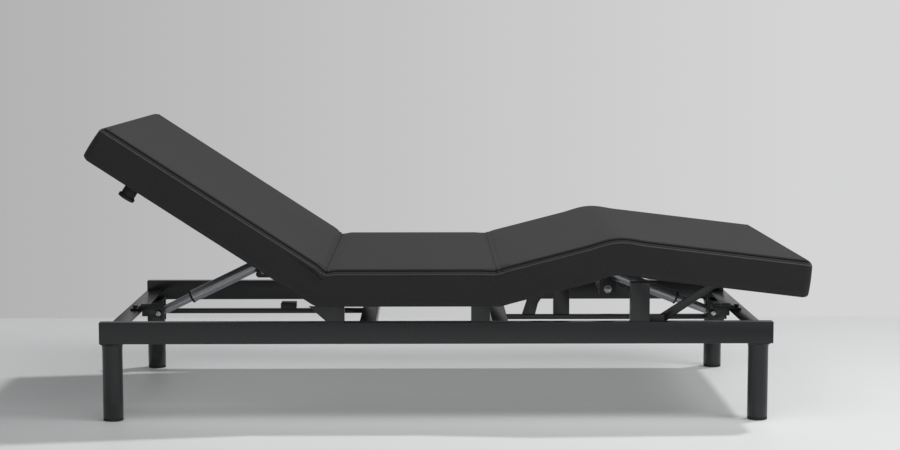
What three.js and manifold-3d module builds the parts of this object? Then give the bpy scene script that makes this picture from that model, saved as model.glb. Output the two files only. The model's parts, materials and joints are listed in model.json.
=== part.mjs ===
// Adjustable bed base, twin XL: a welded steel frame on four legs carries a deck in four hinged
// sections (head, seat, thigh and foot), lifted by two electric linear actuators.
// Millimetres, +Z up, +X towards the foot end, -Y is the near side. The origin is on the floor,
// under the middle of the whole base's outline.
import * as THREE from 'three';
import { mergeVertices } from 'three/addons/utils/BufferGeometryUtils.js';
import Module from 'manifold-3d';

const wasm = await Module();
wasm.setup();

// ---------------------------------------------------------------- driving dimensions
const GAP = 0.3; // between pieces that touch

const DECK_WIDTH = 965;
const DECK_DEPTH = 95; // underside of the side skirt to the platform's top
const PIVOT_Z = 363.5; // deck hinges, half way up the skirt
const HEAD_HINGE_X = -307;
const THIGH_HINGE_X = 161;
const HEAD_LENGTH = 716;
const THIGH_LENGTH = 331;
const FOOT_LENGTH = 517;
const HEAD_UP = 33; // degrees above level, as modelled
const THIGH_UP = 14.5;
const FOOT_DOWN = 6.9;
const HEAD_SETBACK = 31; // from a hinge to the nearest board and skirt
const THIGH_SETBACK = 19;
const KNEE_SETBACK = 27;
const SKIRT = 26; // thickness of the padded skirt
const BOARD = 15;
const ANGLE_WIDE = 30; // deck frame angle iron, laid flat
const ANGLE_TALL = 20;
const ANGLE_WALL = 3;
const ANGLE_OUTER_Y = 447;

const FRAME_LENGTH = 1800;
const FRAME_WIDTH = 900;
const RAIL_BOTTOM = 212;
const RAIL_TOP = 270;
const RAIL_THICK = 30;
const RAIL_WALL = 2;
const CROSS_TOP = 241; // flat tops of every cross member
const CROSS_RAIL_WIDE = 50;
const CROSS_RAIL_PLATE = 4;
const MEMBER_WIDE = 45;
const MEMBER_TALL = 30;
const HEAD_MEMBER_X = -191;
const FOOT_MEMBER_X = 177;

const LEG_RADIUS = 27;
const LEG_WALL = 2;
const LEG_INSET_X = { head: 29, foot: 34 };
const LEG_INSET_Y = 38;
const LEG_PLATE = 56;
const GLIDE_HEIGHT = 8;

const SPINE_Y = [30, 46];
const HEAD_SPINE_Z = [225, 238.4];
const FOOT_SPINE_Z = [206, 219.7];

const POST_WIDE = 50;
const POST_TOP = 375;
const HEAD_POST_X = -271.5;
const FOOT_POST_X = 117;
const LINK_POST_X = 543;

const CLEVIS_PIN_X = 802;
const CLEVIS_PIN_Z = 232.5;
const PIN_RADIUS = 6;
const PIN_HOLE = 6.4;

const ROD_RADIUS = 12.5;
const TUBE_RADIUS = 17.5;
const TUBE_BORE = 13.2;
const EYE_RADIUS = 14;
const HEAD_ACTUATOR = { slope: 25.9, eye: 450, collar: 105, motorX: -496, motorBottom: 337 };
const FOOT_ACTUATOR = { slope: 21.3, eye: 470, collar: 114, motorX: 495.5, motorBottom: 281 };

const LINK_PIVOT = { x: 585, z: 259 };
const LINK_SLOPE = 33.5;
const LINK_LENGTH = 240;
const LINK_WIDE = 20;
const LINK_Y = [398, 406];

const HALF_DEPTH = DECK_DEPTH / 2;
const ANGLE_BOTTOM = HALF_DEPTH - 2 * GAP - BOARD - ANGLE_TALL + 0.4; // above the hinge line
const ANGLE_TOP = ANGLE_BOTTOM + ANGLE_TALL;
const BOARD_TOP = ANGLE_TOP + GAP + BOARD;
const SKIRT_INNER_Y = DECK_WIDTH / 2 - SKIRT;
const BOARD_Y = SKIRT_INNER_Y - GAP;
const RAIL_INNER_Y = FRAME_WIDTH / 2 - RAIL_THICK;
const radians = THREE.MathUtils.degToRad;

// ---------------------------------------------------------------- shapes
function box([x0, x1], [y0, y1], [z0, z1]) {
  const geometry = new THREE.BoxGeometry(x1 - x0, y1 - y0, z1 - z0);
  return geometry.translate((x0 + x1) / 2, (y0 + y1) / 2, (z0 + z1) / 2);
}

function outline(points, holes = []) {
  const shape = new THREE.Shape(points.map(([u, v]) => new THREE.Vector2(u, v)));
  shape.holes = holes;
  return shape;
}

// A shape drawn in X and Z, extruded across from y0 to y1.
function acrossY(shape, [y0, y1], curveSegments = 12) {
  const geometry = new THREE.ExtrudeGeometry(shape, { depth: y1 - y0, bevelEnabled: false, curveSegments });
  return geometry.rotateX(Math.PI / 2).translate(0, y1, 0);
}

// A shape drawn in Y and Z, extruded along from x0 to x1.
function alongX(shape, [x0, x1]) {
  const geometry = new THREE.ExtrudeGeometry(shape, { depth: x1 - x0, bevelEnabled: false });
  const turn = new THREE.Matrix4().makeBasis(
    new THREE.Vector3(0, 1, 0),
    new THREE.Vector3(0, 0, 1),
    new THREE.Vector3(1, 0, 0),
  );
  return geometry.applyMatrix4(turn).translate(x0, 0, 0);
}

function cylinderY(radius, x, z, [y0, y1], sides = 24) {
  return new THREE.CylinderGeometry(radius, radius, y1 - y0, sides).translate(x, (y0 + y1) / 2, z);
}

function cylinderX(radius, [x0, x1], sides = 24) {
  const geometry = new THREE.CylinderGeometry(radius, radius, x1 - x0, sides);
  return geometry.rotateZ(-Math.PI / 2).translate((x0 + x1) / 2, 0, 0);
}

// A body of revolution about the upright line through x and y, from [radius, height] points.
function turned(points, x, y, sides = 28) {
  const profile = points.map(([r, z]) => new THREE.Vector2(r, z));
  return new THREE.LatheGeometry(profile, sides).rotateX(Math.PI / 2).translate(x, y, 0);
}

function toSolid(geometry) {
  const bare = new THREE.BufferGeometry();
  bare.setAttribute('position', geometry.getAttribute('position').clone());
  if (geometry.index) bare.setIndex(geometry.index.clone());
  const merged = mergeVertices(bare, 1e-4);
  return new wasm.Manifold(new wasm.Mesh({
    numProp: 3,
    vertProperties: new Float32Array(merged.getAttribute('position').array),
    triVerts: new Uint32Array(merged.index.array),
  }));
}

function toGeometry(solid) {
  const mesh = solid.getMesh();
  const geometry = new THREE.BufferGeometry();
  geometry.setAttribute('position', new THREE.BufferAttribute(new Float32Array(mesh.vertProperties), 3));
  geometry.setIndex(new THREE.BufferAttribute(new Uint32Array(mesh.triVerts), 1));
  geometry.computeVertexNormals();
  return geometry;
}

function joined(parts, cuts = []) {
  let solid = toSolid(parts[0]);
  for (const part of parts.slice(1)) solid = solid.add(toSolid(part));
  for (const cut of cuts) solid = solid.subtract(toSolid(cut));
  return toGeometry(solid);
}

// The span from a to b out from the centre plane, on the near (-1) or far (+1) side.
function outward(side, [a, b]) {
  return side > 0 ? [a, b] : [-b, -a];
}

// ---------------------------------------------------------------- materials and nodes
const FINISHES = {
  powder_steel: { color: 0x2e2f31, roughness: 0.5, metalness: 0.3 },
  satin_tube: { color: 0x8d8f92, roughness: 0.32, metalness: 0.9 },
  zinc_steel: { color: 0xb9bcbf, roughness: 0.35, metalness: 0.9 },
  moulded_abs: { color: 0x1d1e20, roughness: 0.55, metalness: 0 },
  rubber: { color: 0x18181a, roughness: 0.8, metalness: 0 },
  deck_board: { color: 0x6b5a45, roughness: 0.8, metalness: 0 },
  deck_fabric: { color: 0x262628, roughness: 0.9, metalness: 0 },
};

function node(parent, name, finish, geometry) {
  const mesh = new THREE.Mesh(geometry, new THREE.MeshStandardMaterial(FINISHES[finish]));
  mesh.name = name;
  parent.add(mesh);
  return mesh;
}

function placed(parent, x, z, turnDegrees) {
  const group = new THREE.Group();
  group.position.set(x, 0, z);
  group.rotation.y = radians(turnDegrees);
  parent.add(group);
  return group;
}

const SIDES = [['near', -1], ['far', 1]];

// ---------------------------------------------------------------- fixed frame
function rectangularTube([u0, u1], [v0, v1], wall) {
  const inner = new THREE.Path([
    new THREE.Vector2(u0 + wall, v0 + wall),
    new THREE.Vector2(u0 + wall, v1 - wall),
    new THREE.Vector2(u1 - wall, v1 - wall),
    new THREE.Vector2(u1 - wall, v0 + wall),
  ]);
  return outline([[u0, v0], [u1, v0], [u1, v1], [u0, v1]], [inner]);
}

function addRails(base) {
  const half = FRAME_LENGTH / 2;
  for (const [label, side] of SIDES) {
    const y = outward(side, [RAIL_INNER_Y, FRAME_WIDTH / 2]);
    const section = rectangularTube(y, [RAIL_BOTTOM, RAIL_TOP], RAIL_WALL);
    node(base, `side_rail_${label}`, 'powder_steel', alongX(section, [-half, half]));
  }
  const reach = [-RAIL_INNER_Y + GAP, RAIL_INNER_Y - GAP];
  const plate = CROSS_RAIL_PLATE;
  for (const [label, end] of [['head', -1], ['foot', 1]]) {
    const angle = outline([
      [end * half, RAIL_BOTTOM],
      [end * (half - plate), RAIL_BOTTOM],
      [end * (half - plate), CROSS_TOP - plate],
      [end * (half - CROSS_RAIL_WIDE), CROSS_TOP - plate],
      [end * (half - CROSS_RAIL_WIDE), CROSS_TOP],
      [end * half, CROSS_TOP],
    ]);
    node(base, `cross_rail_${label}`, 'powder_steel', acrossY(angle, reach));
  }
  for (const [label, x] of [['head', HEAD_MEMBER_X], ['foot', FOOT_MEMBER_X]]) {
    const span = [x - MEMBER_WIDE / 2, x + MEMBER_WIDE / 2];
    const section = rectangularTube(span, [CROSS_TOP - MEMBER_TALL, CROSS_TOP], RAIL_WALL);
    node(base, `middle_member_${label}`, 'powder_steel', acrossY(section, reach));
  }
}

function addSpine(base) {
  const end = FRAME_LENGTH / 2 - CROSS_RAIL_WIDE - GAP;
  const headSpan = [-end, HEAD_MEMBER_X - MEMBER_WIDE / 2 - GAP];
  const footSpan = [FOOT_MEMBER_X + MEMBER_WIDE / 2 + GAP, end];
  node(base, 'spine_bar_head', 'powder_steel', box(headSpan, SPINE_Y, HEAD_SPINE_Z));
  node(base, 'spine_bar_foot', 'powder_steel', box(footSpan, SPINE_Y, FOOT_SPINE_Z));

  const boxBottom = HEAD_SPINE_Z[1] + GAP;
  node(base, 'junction_box', 'moulded_abs', box([-452, -408], [14, 62], [boxBottom, boxBottom + 18]));

  const footing = FOOT_SPINE_Z[1] + GAP;
  const thin = [SPINE_Y[0] + 2, SPINE_Y[1] - 2];
  const postWide = 47;
  const postX = 365.5;
  const post = box([postX - postWide / 2, postX + postWide / 2], thin, [footing, POST_TOP - 1]);
  node(base, 'thigh_rest_post', 'powder_steel', post);

  const strut = new THREE.Shape();
  strut.moveTo(251, footing);
  strut.lineTo(289, footing);
  strut.lineTo(297, 252);
  strut.quadraticCurveTo(305, 268, 320, 281);
  strut.lineTo(333, 296);
  strut.lineTo(333, POST_TOP - 1);
  strut.lineTo(299, POST_TOP - 1);
  strut.lineTo(299, 322);
  strut.quadraticCurveTo(284, 302, 267, 269);
  strut.lineTo(251, footing);
  node(base, 'thigh_rest_strut', 'powder_steel', acrossY(strut, thin, 6));
}

function addLegs(base) {
  const legY = FRAME_WIDTH / 2 - LEG_INSET_Y;
  const top = RAIL_BOTTOM - GAP;
  const bore = LEG_RADIUS - LEG_WALL;
  for (const [endLabel, end] of [['head', -1], ['foot', 1]]) {
    const legX = FRAME_LENGTH / 2 - LEG_INSET_X[endLabel];
    for (const [sideLabel, side] of SIDES) {
      const x = end * legX;
      const y = side * legY;
      const tube = turned([
        [bore, GLIDE_HEIGHT],
        [LEG_RADIUS, GLIDE_HEIGHT],
        [LEG_RADIUS, top - 1],
        [0, top - 1],
        [0, top - 4],
        [bore, top - 4],
        [bore, GLIDE_HEIGHT],
      ], x, y);
      const half = LEG_PLATE / 2;
      const plate = box([x - half, x + half], [y - half, y + half], [top - 4, top]);
      node(base, `leg_${endLabel}_${sideLabel}`, 'powder_steel', joined([tube, plate]));
      const glide = turned([
        [0, 0],
        [LEG_RADIUS - 2, 0],
        [LEG_RADIUS - 0.5, 1.5],
        [LEG_RADIUS - 0.5, GLIDE_HEIGHT - GAP],
        [bore - 1, GLIDE_HEIGHT - GAP],
        [bore - 2, 28],
        [0, 28],
      ], x, y);
      node(base, `leg_glide_${endLabel}_${sideLabel}`, 'rubber', glide);
    }
  }
}

function addPosts(base) {
  const foot = RAIL_TOP + GAP;
  const half = POST_WIDE / 2;
  const outer = FRAME_WIDTH / 2 - GAP;
  const wall = 3;
  for (const [label, side] of SIDES) {
    const y = outward(side, [RAIL_INNER_Y + GAP, outer]);
    const pocketY = outward(side, [RAIL_INNER_Y - 1, outer - wall]);
    const pocket = (x) => box([x - half + wall, x + half - wall], pocketY, [foot + wall, POST_TOP - wall]);

    const left = HEAD_POST_X - half;
    const right = HEAD_POST_X + half;
    const gusset = 45;
    const headPost = acrossY(outline([
      [left, foot],
      [right, foot],
      [right, POST_TOP],
      [left, POST_TOP],
      [left, 314],
      [left - gusset, 314],
      [left, 274],
    ]), y);
    const gussetRelief = box([left - gusset - 1, left + wall], pocketY, [foot - 1, 316]);
    node(base, `seat_post_head_${label}`, 'powder_steel', joined([headPost], [pocket(HEAD_POST_X), gussetRelief]));

    const footPost = box([FOOT_POST_X - half, FOOT_POST_X + half], y, [foot, POST_TOP]);
    node(base, `seat_post_foot_${label}`, 'powder_steel', joined([footPost], [pocket(FOOT_POST_X)]));

    const plateY = outward(side, [411, RAIL_INNER_Y - GAP]);
    const linkPostY = outward(side, [411, outer]);
    const linkPost = box([LINK_POST_X - half, LINK_POST_X + half], linkPostY, [foot, POST_TOP]);
    const bracket = acrossY(outline([
      [LINK_POST_X - half, 226],
      [611, 226],
      [611, 285],
      [LINK_POST_X + half, 285],
      [LINK_POST_X + half, 300],
      [LINK_POST_X - half, 300],
    ]), plateY);
    const pin = cylinderY(PIN_RADIUS, LINK_PIVOT.x, LINK_PIVOT.z, outward(side, [395, 413]));
    const hollow = box(
      [LINK_POST_X - half + wall, LINK_POST_X + half - wall],
      outward(side, [RAIL_INNER_Y, outer - wall]),
      [foot - 1, POST_TOP - wall],
    );
    node(base, `link_post_${label}`, 'powder_steel', joined([linkPost, bracket, pin], [hollow]));
  }
}

function addClevises(base) {
  const half = FRAME_LENGTH / 2;
  const inner = half - CROSS_RAIL_WIDE - GAP;
  for (const [label, end] of [['head', -1], ['foot', 1]]) {
    const cheek = outline([
      [end * 786, 209],
      [end * 786, 278.5],
      [end * 809, 254],
      [end * 858, 254],
      [end * 864, CROSS_TOP + GAP],
      [end * inner, CROSS_TOP + GAP],
      [end * inner, 224],
      [end * 834, 224],
      [end * 834, 209],
    ]);
    const parts = SIDES.map(([, side]) => acrossY(cheek, outward(side, [17, 22])));
    const flangeX = [end * 884, end * 836].sort((a, b) => a - b);
    const baseX = [end * 834, end * 790].sort((a, b) => a - b);
    parts.push(box(flangeX, [-22, 22], [CROSS_TOP + GAP, CROSS_TOP + GAP + 5]));
    parts.push(box(baseX, [-22, 22], [209, 213]));
    const hole = cylinderY(PIN_HOLE, end * CLEVIS_PIN_X, CLEVIS_PIN_Z, [-30, 30]);
    const boltSeat = turned([[0, 246], [6.5, 246], [6.5, 254], [0, 254]], end * 874, 0, 6);
    parts.push(boltSeat);
    node(base, `clevis_${label}`, 'powder_steel', joined(parts, [hole]));

    const shank = cylinderY(PIN_RADIUS, end * CLEVIS_PIN_X, CLEVIS_PIN_Z, [-25, 26]);
    const cap = cylinderY(8, end * CLEVIS_PIN_X, CLEVIS_PIN_Z, [-29, -24]);
    node(base, `clevis_pin_${label}`, 'zinc_steel', joined([shank, cap]));
  }
}

// ---------------------------------------------------------------- deck sections
// Each section is drawn flat, with its hinge at the origin. It runs from `from` to `to` in X.
function angleAlong(side, [x0, x1]) {
  const [inner, outer] = [ANGLE_OUTER_Y - ANGLE_WIDE, ANGLE_OUTER_Y];
  const flange = box([x0, x1], outward(side, [inner, outer]), [ANGLE_TOP - ANGLE_WALL, ANGLE_TOP]);
  const web = box([x0, x1], outward(side, [outer - ANGLE_WALL, outer]), [ANGLE_BOTTOM, ANGLE_TOP]);
  return [flange, web];
}

// A cross angle from x0 to x0 + width, its web on the edge nearest the hinge.
function angleAcross(x0, direction) {
  const reach = [-ANGLE_OUTER_Y + 1, ANGLE_OUTER_Y - 1];
  const wide = [x0, x0 + direction * ANGLE_WIDE].sort((a, b) => a - b);
  const web = [x0, x0 + direction * ANGLE_WALL].sort((a, b) => a - b);
  return [
    box(wide, reach, [ANGLE_TOP - ANGLE_WALL - 0.5, ANGLE_TOP - 0.2]),
    box(web, reach, [ANGLE_BOTTOM + 0.4, ANGLE_TOP - 0.2]),
  ];
}

// Two hinge lugs that reach from the section's end angle to its hinge rod.
function hingeLugs(hingeX, direction, setback, yBand) {
  const near = hingeX + direction * (setback + 2);
  const far = near + direction * 24;
  const radius = 12;
  const lug = outline([
    [hingeX - direction * radius * 0.87, radius * 0.5],
    [hingeX - direction * radius, 0],
    [hingeX - direction * radius * 0.7, -radius * 0.7],
    [hingeX, -radius],
    [hingeX + direction * radius * 0.7, -radius * 0.7],
    [far, ANGLE_BOTTOM - 6],
    [far, ANGLE_TOP - 1],
    [near, ANGLE_TOP - 1],
    [hingeX, radius],
  ]);
  return SIDES.map(([, side]) => acrossY(lug, outward(side, yBand)));
}

function hingeHole(hingeX) {
  return cylinderY(PIN_HOLE, hingeX, 0, [-430, 430]);
}

// Slotted lift lugs: plates either side of an actuator's upper eye, with a window for its pin to
// push in. The window's middle and its half sizes are in the section's own frame.
function liftLugs({ x, z, halfX, halfZ }, barX) {
  const reach = Math.sign(barX - x);
  const back = x - reach * (halfX + 8);
  const front = barX + reach * 6;
  const low = z - halfZ - 8;
  const plate = outline([[back, low], [front, low], [front, ANGLE_TOP - 1], [back, ANGLE_TOP - 5]]);
  const window = box([x - halfX, x + halfX], [-40, 40], [z - halfZ, z + halfZ]);
  return { plates: SIDES.map(([, side]) => acrossY(plate, outward(side, [20, 26]))), window };
}

function addDeckSkin(group, name, [x0, x1], endDirection) {
  const boardX = endDirection < 0 ? [x0 + SKIRT + GAP, x1] : [x0, x1];
  if (endDirection > 0) boardX[1] = x1 - SKIRT - GAP;
  const boardZ = [ANGLE_TOP + GAP, BOARD_TOP];
  node(group, `${name}_board`, 'deck_board', box(boardX, [-BOARD_Y, BOARD_Y], boardZ));
  const depth = [-HALF_DEPTH, HALF_DEPTH];
  for (const [label, side] of SIDES) {
    const y = outward(side, [SKIRT_INNER_Y, DECK_WIDTH / 2]);
    node(group, `${name}_skirt_${label}`, 'deck_fabric', box([x0, x1], y, depth));
  }
  if (endDirection === 0) return;
  const endX = endDirection < 0 ? [x0, x0 + SKIRT] : [x1 - SKIRT, x1];
  node(group, `${name}_skirt_end`, 'deck_fabric', box(endX, [-BOARD_Y, BOARD_Y], depth));
}

const LUG_OUTER = [405.4, 410.4];
const LUG_INNER = [399, 405];

function addHeadSection(base) {
  const head = placed(base, HEAD_HINGE_X, PIVOT_Z, HEAD_UP);
  const from = -HEAD_SETBACK;
  const liftBar = -172;
  const lift = liftLugs({ x: -121.3, z: 7.6, halfX: 17.5, halfZ: 10.7 }, liftBar);
  const parts = [
    ...angleAlong(-1, [-HEAD_LENGTH + SKIRT + 9, from - 3]),
    ...angleAlong(1, [-HEAD_LENGTH + SKIRT + 9, from - 3]),
    ...angleAcross(from - 2, -1),
    ...angleAcross(liftBar, -1),
    ...angleAcross(-430, -1),
    ...angleAcross(-HEAD_LENGTH + SKIRT + 8, 1),
    ...hingeLugs(0, -1, HEAD_SETBACK, LUG_INNER),
    ...lift.plates,
  ];
  node(head, 'head_frame', 'powder_steel', joined(parts, [hingeHole(0), lift.window]));
  addDeckSkin(head, 'head', [-HEAD_LENGTH, from], -1);

  const bumperX = -564;
  const bumperY = 431;
  for (const [label, side] of SIDES) {
    const bumper = turned([
      [0, -83.5],
      [21, -83.5],
      [23, -81.5],
      [23, -78.5],
      [19.5, -76],
      [19.5, ANGLE_BOTTOM - GAP],
      [0, ANGLE_BOTTOM - GAP],
    ], bumperX, side * bumperY, 24);
    node(head, `head_bumper_${label}`, 'rubber', bumper);
  }
}

function addSeatSection(base) {
  const seat = placed(base, 0, PIVOT_Z, 0);
  const span = [HEAD_HINGE_X + HEAD_SETBACK, THIGH_HINGE_X - THIGH_SETBACK];
  const parts = [
    ...angleAlong(-1, [span[0] + 3, span[1] - 3]),
    ...angleAlong(1, [span[0] + 3, span[1] - 3]),
    ...angleAcross(span[0] + 2, 1),
    ...angleAcross(-90, 1),
    ...angleAcross(span[1] - 2, -1),
    ...hingeLugs(HEAD_HINGE_X, 1, HEAD_SETBACK, LUG_OUTER),
    ...hingeLugs(THIGH_HINGE_X, -1, THIGH_SETBACK, LUG_OUTER),
  ];
  const holes = [hingeHole(HEAD_HINGE_X), hingeHole(THIGH_HINGE_X)];
  node(seat, 'seat_frame', 'powder_steel', joined(parts, holes));
  addDeckSkin(seat, 'seat', span, 0);
  const rodReach = [-LUG_OUTER[1] - 2, LUG_OUTER[1] + 2];
  node(seat, 'head_hinge_rod', 'zinc_steel', cylinderY(PIN_RADIUS, HEAD_HINGE_X, 0, rodReach));
  node(seat, 'thigh_hinge_rod', 'zinc_steel', cylinderY(PIN_RADIUS, THIGH_HINGE_X, 0, rodReach));
}

function addThighSection(base) {
  const thigh = placed(base, THIGH_HINGE_X, PIVOT_Z, -THIGH_UP);
  const span = [THIGH_SETBACK, THIGH_LENGTH - KNEE_SETBACK];
  const liftBar = 244;
  const lift = liftLugs({ x: 213.6, z: -11.2, halfX: 15, halfZ: 9 }, liftBar);
  const parts = [
    ...angleAlong(-1, [span[0] + 3, span[1] - 3]),
    ...angleAlong(1, [span[0] + 3, span[1] - 3]),
    ...angleAcross(span[0] + 2, 1),
    ...angleAcross(138, 1),
    ...angleAcross(liftBar, 1),
    ...angleAcross(span[1] - 2, -1),
    ...hingeLugs(0, 1, THIGH_SETBACK, LUG_INNER),
    ...hingeLugs(THIGH_LENGTH, -1, KNEE_SETBACK, LUG_INNER),
    ...lift.plates,
  ];
  const holes = [hingeHole(0), hingeHole(THIGH_LENGTH), lift.window];
  node(thigh, 'thigh_frame', 'powder_steel', joined(parts, holes));
  addDeckSkin(thigh, 'thigh', span, 0);
  const rodReach = [-LUG_OUTER[1] - 2, LUG_OUTER[1] + 2];
  node(thigh, 'knee_hinge_rod', 'zinc_steel', cylinderY(PIN_RADIUS, THIGH_LENGTH, 0, rodReach));
  return thigh;
}

function addFootSection(thigh) {
  const foot = placed(thigh, THIGH_LENGTH, 0, THIGH_UP + FOOT_DOWN);
  const end = FOOT_LENGTH - SKIRT - 8;
  const pivot = linkTopInFoot();
  const slotRadius = 13;
  const slotX = pivot.x + 5; // the pin wanders about this point as the deck moves
  const lug = outline([
    [pivot.x - 22, pivot.z - 21],
    [pivot.x + 26, pivot.z - 21],
    [pivot.x + 34, ANGLE_TOP - 1],
    [pivot.x - 34, ANGLE_TOP - 1],
  ]);
  const lugs = SIDES.map(([, side]) => acrossY(lug, outward(side, [409, 418])));
  const parts = [
    ...angleAlong(-1, [KNEE_SETBACK + 3, end - 1]),
    ...angleAlong(1, [KNEE_SETBACK + 3, end - 1]),
    ...angleAcross(KNEE_SETBACK + 2, 1),
    ...angleAcross(250, 1),
    ...angleAcross(end, -1),
    ...hingeLugs(0, 1, KNEE_SETBACK, LUG_OUTER),
    ...lugs,
  ];
  const holes = [hingeHole(0), cylinderY(slotRadius, slotX, pivot.z, [-430, 430])];
  node(foot, 'foot_frame', 'powder_steel', joined(parts, holes));
  addDeckSkin(foot, 'foot', [KNEE_SETBACK, FOOT_LENGTH], 1);
}

// Where the foot link's upper pin lies in the foot section's own frame.
function linkTopInFoot() {
  const slope = radians(LINK_SLOPE);
  const topX = LINK_PIVOT.x + LINK_LENGTH * Math.cos(slope);
  const topZ = LINK_PIVOT.z + LINK_LENGTH * Math.sin(slope);
  const kneeX = THIGH_HINGE_X + THIGH_LENGTH * Math.cos(radians(THIGH_UP));
  const kneeZ = PIVOT_Z + THIGH_LENGTH * Math.sin(radians(THIGH_UP));
  const down = radians(FOOT_DOWN);
  const dx = topX - kneeX;
  const dz = topZ - kneeZ;
  return { x: dx * Math.cos(down) - dz * Math.sin(down), z: dx * Math.sin(down) + dz * Math.cos(down) };
}

function addFootLinks(base) {
  const half = LINK_WIDE / 2;
  const bar = new THREE.Shape();
  bar.absarc(0, 0, half + 2, Math.PI / 2, (3 * Math.PI) / 2, false);
  bar.lineTo(LINK_LENGTH, -half);
  bar.absarc(LINK_LENGTH, 0, half, -Math.PI / 2, Math.PI / 2, false);
  for (const [label, side] of SIDES) {
    const pivot = placed(base, LINK_PIVOT.x, LINK_PIVOT.z, -LINK_SLOPE);
    const plate = acrossY(bar, outward(side, LINK_Y), 10);
    const pin = cylinderY(PIN_RADIUS, LINK_LENGTH, 0, outward(side, [400, 420]));
    const hole = cylinderY(PIN_HOLE, 0, 0, [-430, 430]);
    node(pivot, `foot_link_${label}`, 'powder_steel', joined([plate, pin], [hole]));
  }
}

// ---------------------------------------------------------------- actuators
// Drawn along local +X from the clevis pin, with `turn` setting which way it leans.
function addActuator(base, label, end, { slope, eye, collar, motorX, motorBottom }) {
  const turn = end < 0 ? -slope : 180 + slope;
  const pinX = end * CLEVIS_PIN_X;
  const axis = placed(base, pinX, CLEVIS_PIN_Z, turn);
  const eyeWide = 15;

  const rod = cylinderX(ROD_RADIUS, [0, 270]);
  const lowerEye = cylinderY(EYE_RADIUS, 0, 0, [-eyeWide, eyeWide]);
  const lowerHole = cylinderY(PIN_HOLE, 0, 0, [-20, 20]);
  node(axis, `${label}_actuator_rod`, 'satin_tube', joined([rod, lowerEye], [lowerHole]));

  const tubeEnd = 350;
  const barrel = cylinderX(TUBE_RADIUS, [collar, tubeEnd]);
  const neck = cylinderX(10, [tubeEnd - 5, eye]);
  const upperEye = cylinderY(EYE_RADIUS, eye, 0, [-eyeWide, eyeWide]);
  const upperPin = cylinderY(PIN_RADIUS, eye, 0, [-29, 29]);
  const bore = cylinderX(TUBE_BORE, [collar - 5, tubeEnd - 12]);
  const tube = joined([barrel, neck, upperEye, upperPin], [bore]);
  node(axis, `${label}_actuator_tube`, 'satin_tube', tube);

  // The motor housing hangs upright under the tube, its motor reaching to the far side.
  const tilt = Math.tan(radians(slope));
  const under = TUBE_RADIUS / Math.cos(radians(slope)) + 0.6;
  const half = 23.5;
  const axisHeight = (x) => CLEVIS_PIN_Z + (CLEVIS_PIN_X - end * x) * tilt;
  const housing = acrossY(outline([
    [motorX - half + 6, motorBottom],
    [motorX + half - 6, motorBottom],
    [motorX + half, motorBottom + 6],
    [motorX + half, axisHeight(motorX + half) - under],
    [motorX - half, axisHeight(motorX - half) - under],
    [motorX - half, motorBottom + 6],
  ]), [-26, 26]);
  const motorRadius = 24;
  const motor = cylinderY(motorRadius, motorX, motorBottom + motorRadius, [20, 118], 28);
  const upright = joined([housing, motor]);
  upright.translate(-pinX, 0, -CLEVIS_PIN_Z).rotateY(-radians(turn));
  node(axis, `${label}_actuator_motor`, 'moulded_abs', upright);
}

// ---------------------------------------------------------------- assembly
const base = new THREE.Group();
addRails(base);
addSpine(base);
addLegs(base);
addPosts(base);
addClevises(base);
addHeadSection(base);
addSeatSection(base);
addFootSection(addThighSection(base));
addFootLinks(base);
addActuator(base, 'head', -1, HEAD_ACTUATOR);
addActuator(base, 'foot', 1, FOOT_ACTUATOR);

// Slide the base along so that the middle of its outline is over the origin.
const outlineBox = new THREE.Box3().setFromObject(base, true);
base.position.x = -(outlineBox.min.x + outlineBox.max.x) / 2;

const adjustableBedBase = new THREE.Group();
adjustableBedBase.add(base);
export default adjustableBedBase;
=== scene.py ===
"""Adjustable bed base: upholstery, steel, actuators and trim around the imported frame.

Lengths are in metres in the row frame unless a name ends in _mm. The deck's cover is drawn flat,
with every section level, and each stretch is then bent about its hinge by the hinge's rest angle.
"""

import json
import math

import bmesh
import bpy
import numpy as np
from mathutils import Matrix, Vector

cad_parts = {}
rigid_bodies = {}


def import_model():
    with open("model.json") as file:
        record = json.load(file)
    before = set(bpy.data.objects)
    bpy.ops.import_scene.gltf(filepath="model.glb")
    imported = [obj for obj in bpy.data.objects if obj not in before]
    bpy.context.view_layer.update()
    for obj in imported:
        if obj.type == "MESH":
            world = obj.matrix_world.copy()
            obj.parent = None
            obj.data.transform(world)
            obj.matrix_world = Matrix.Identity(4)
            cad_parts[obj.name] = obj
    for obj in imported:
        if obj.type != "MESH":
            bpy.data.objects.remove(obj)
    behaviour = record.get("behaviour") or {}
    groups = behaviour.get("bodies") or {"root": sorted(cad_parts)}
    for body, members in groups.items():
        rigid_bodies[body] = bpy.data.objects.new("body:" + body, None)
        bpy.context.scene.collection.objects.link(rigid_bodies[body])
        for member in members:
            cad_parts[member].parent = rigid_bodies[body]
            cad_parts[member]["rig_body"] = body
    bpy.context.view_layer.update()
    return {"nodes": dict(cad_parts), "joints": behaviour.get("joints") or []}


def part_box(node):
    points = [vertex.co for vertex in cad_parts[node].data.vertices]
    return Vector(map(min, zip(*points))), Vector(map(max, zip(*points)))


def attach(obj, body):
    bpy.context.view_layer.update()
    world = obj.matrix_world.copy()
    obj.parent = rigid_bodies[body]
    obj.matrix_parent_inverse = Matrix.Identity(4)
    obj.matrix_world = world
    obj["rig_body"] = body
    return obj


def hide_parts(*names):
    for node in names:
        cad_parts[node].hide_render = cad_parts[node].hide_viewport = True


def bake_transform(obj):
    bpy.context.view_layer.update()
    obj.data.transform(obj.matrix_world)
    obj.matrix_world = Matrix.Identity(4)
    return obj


bl_info = {
    "name": "Adjustable bed base",
    "version": (1, 0, 0),
    "blender": (4, 5, 0),
    "location": "View3D > Sidebar > Bed base",
    "description": "Makes the cover, trim, fasteners and finishes of an adjustable bed base",
    "category": "Object",
}

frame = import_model()
MM = 0.001
JOINTS = {joint["name"]: joint for joint in frame["joints"]}


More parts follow.
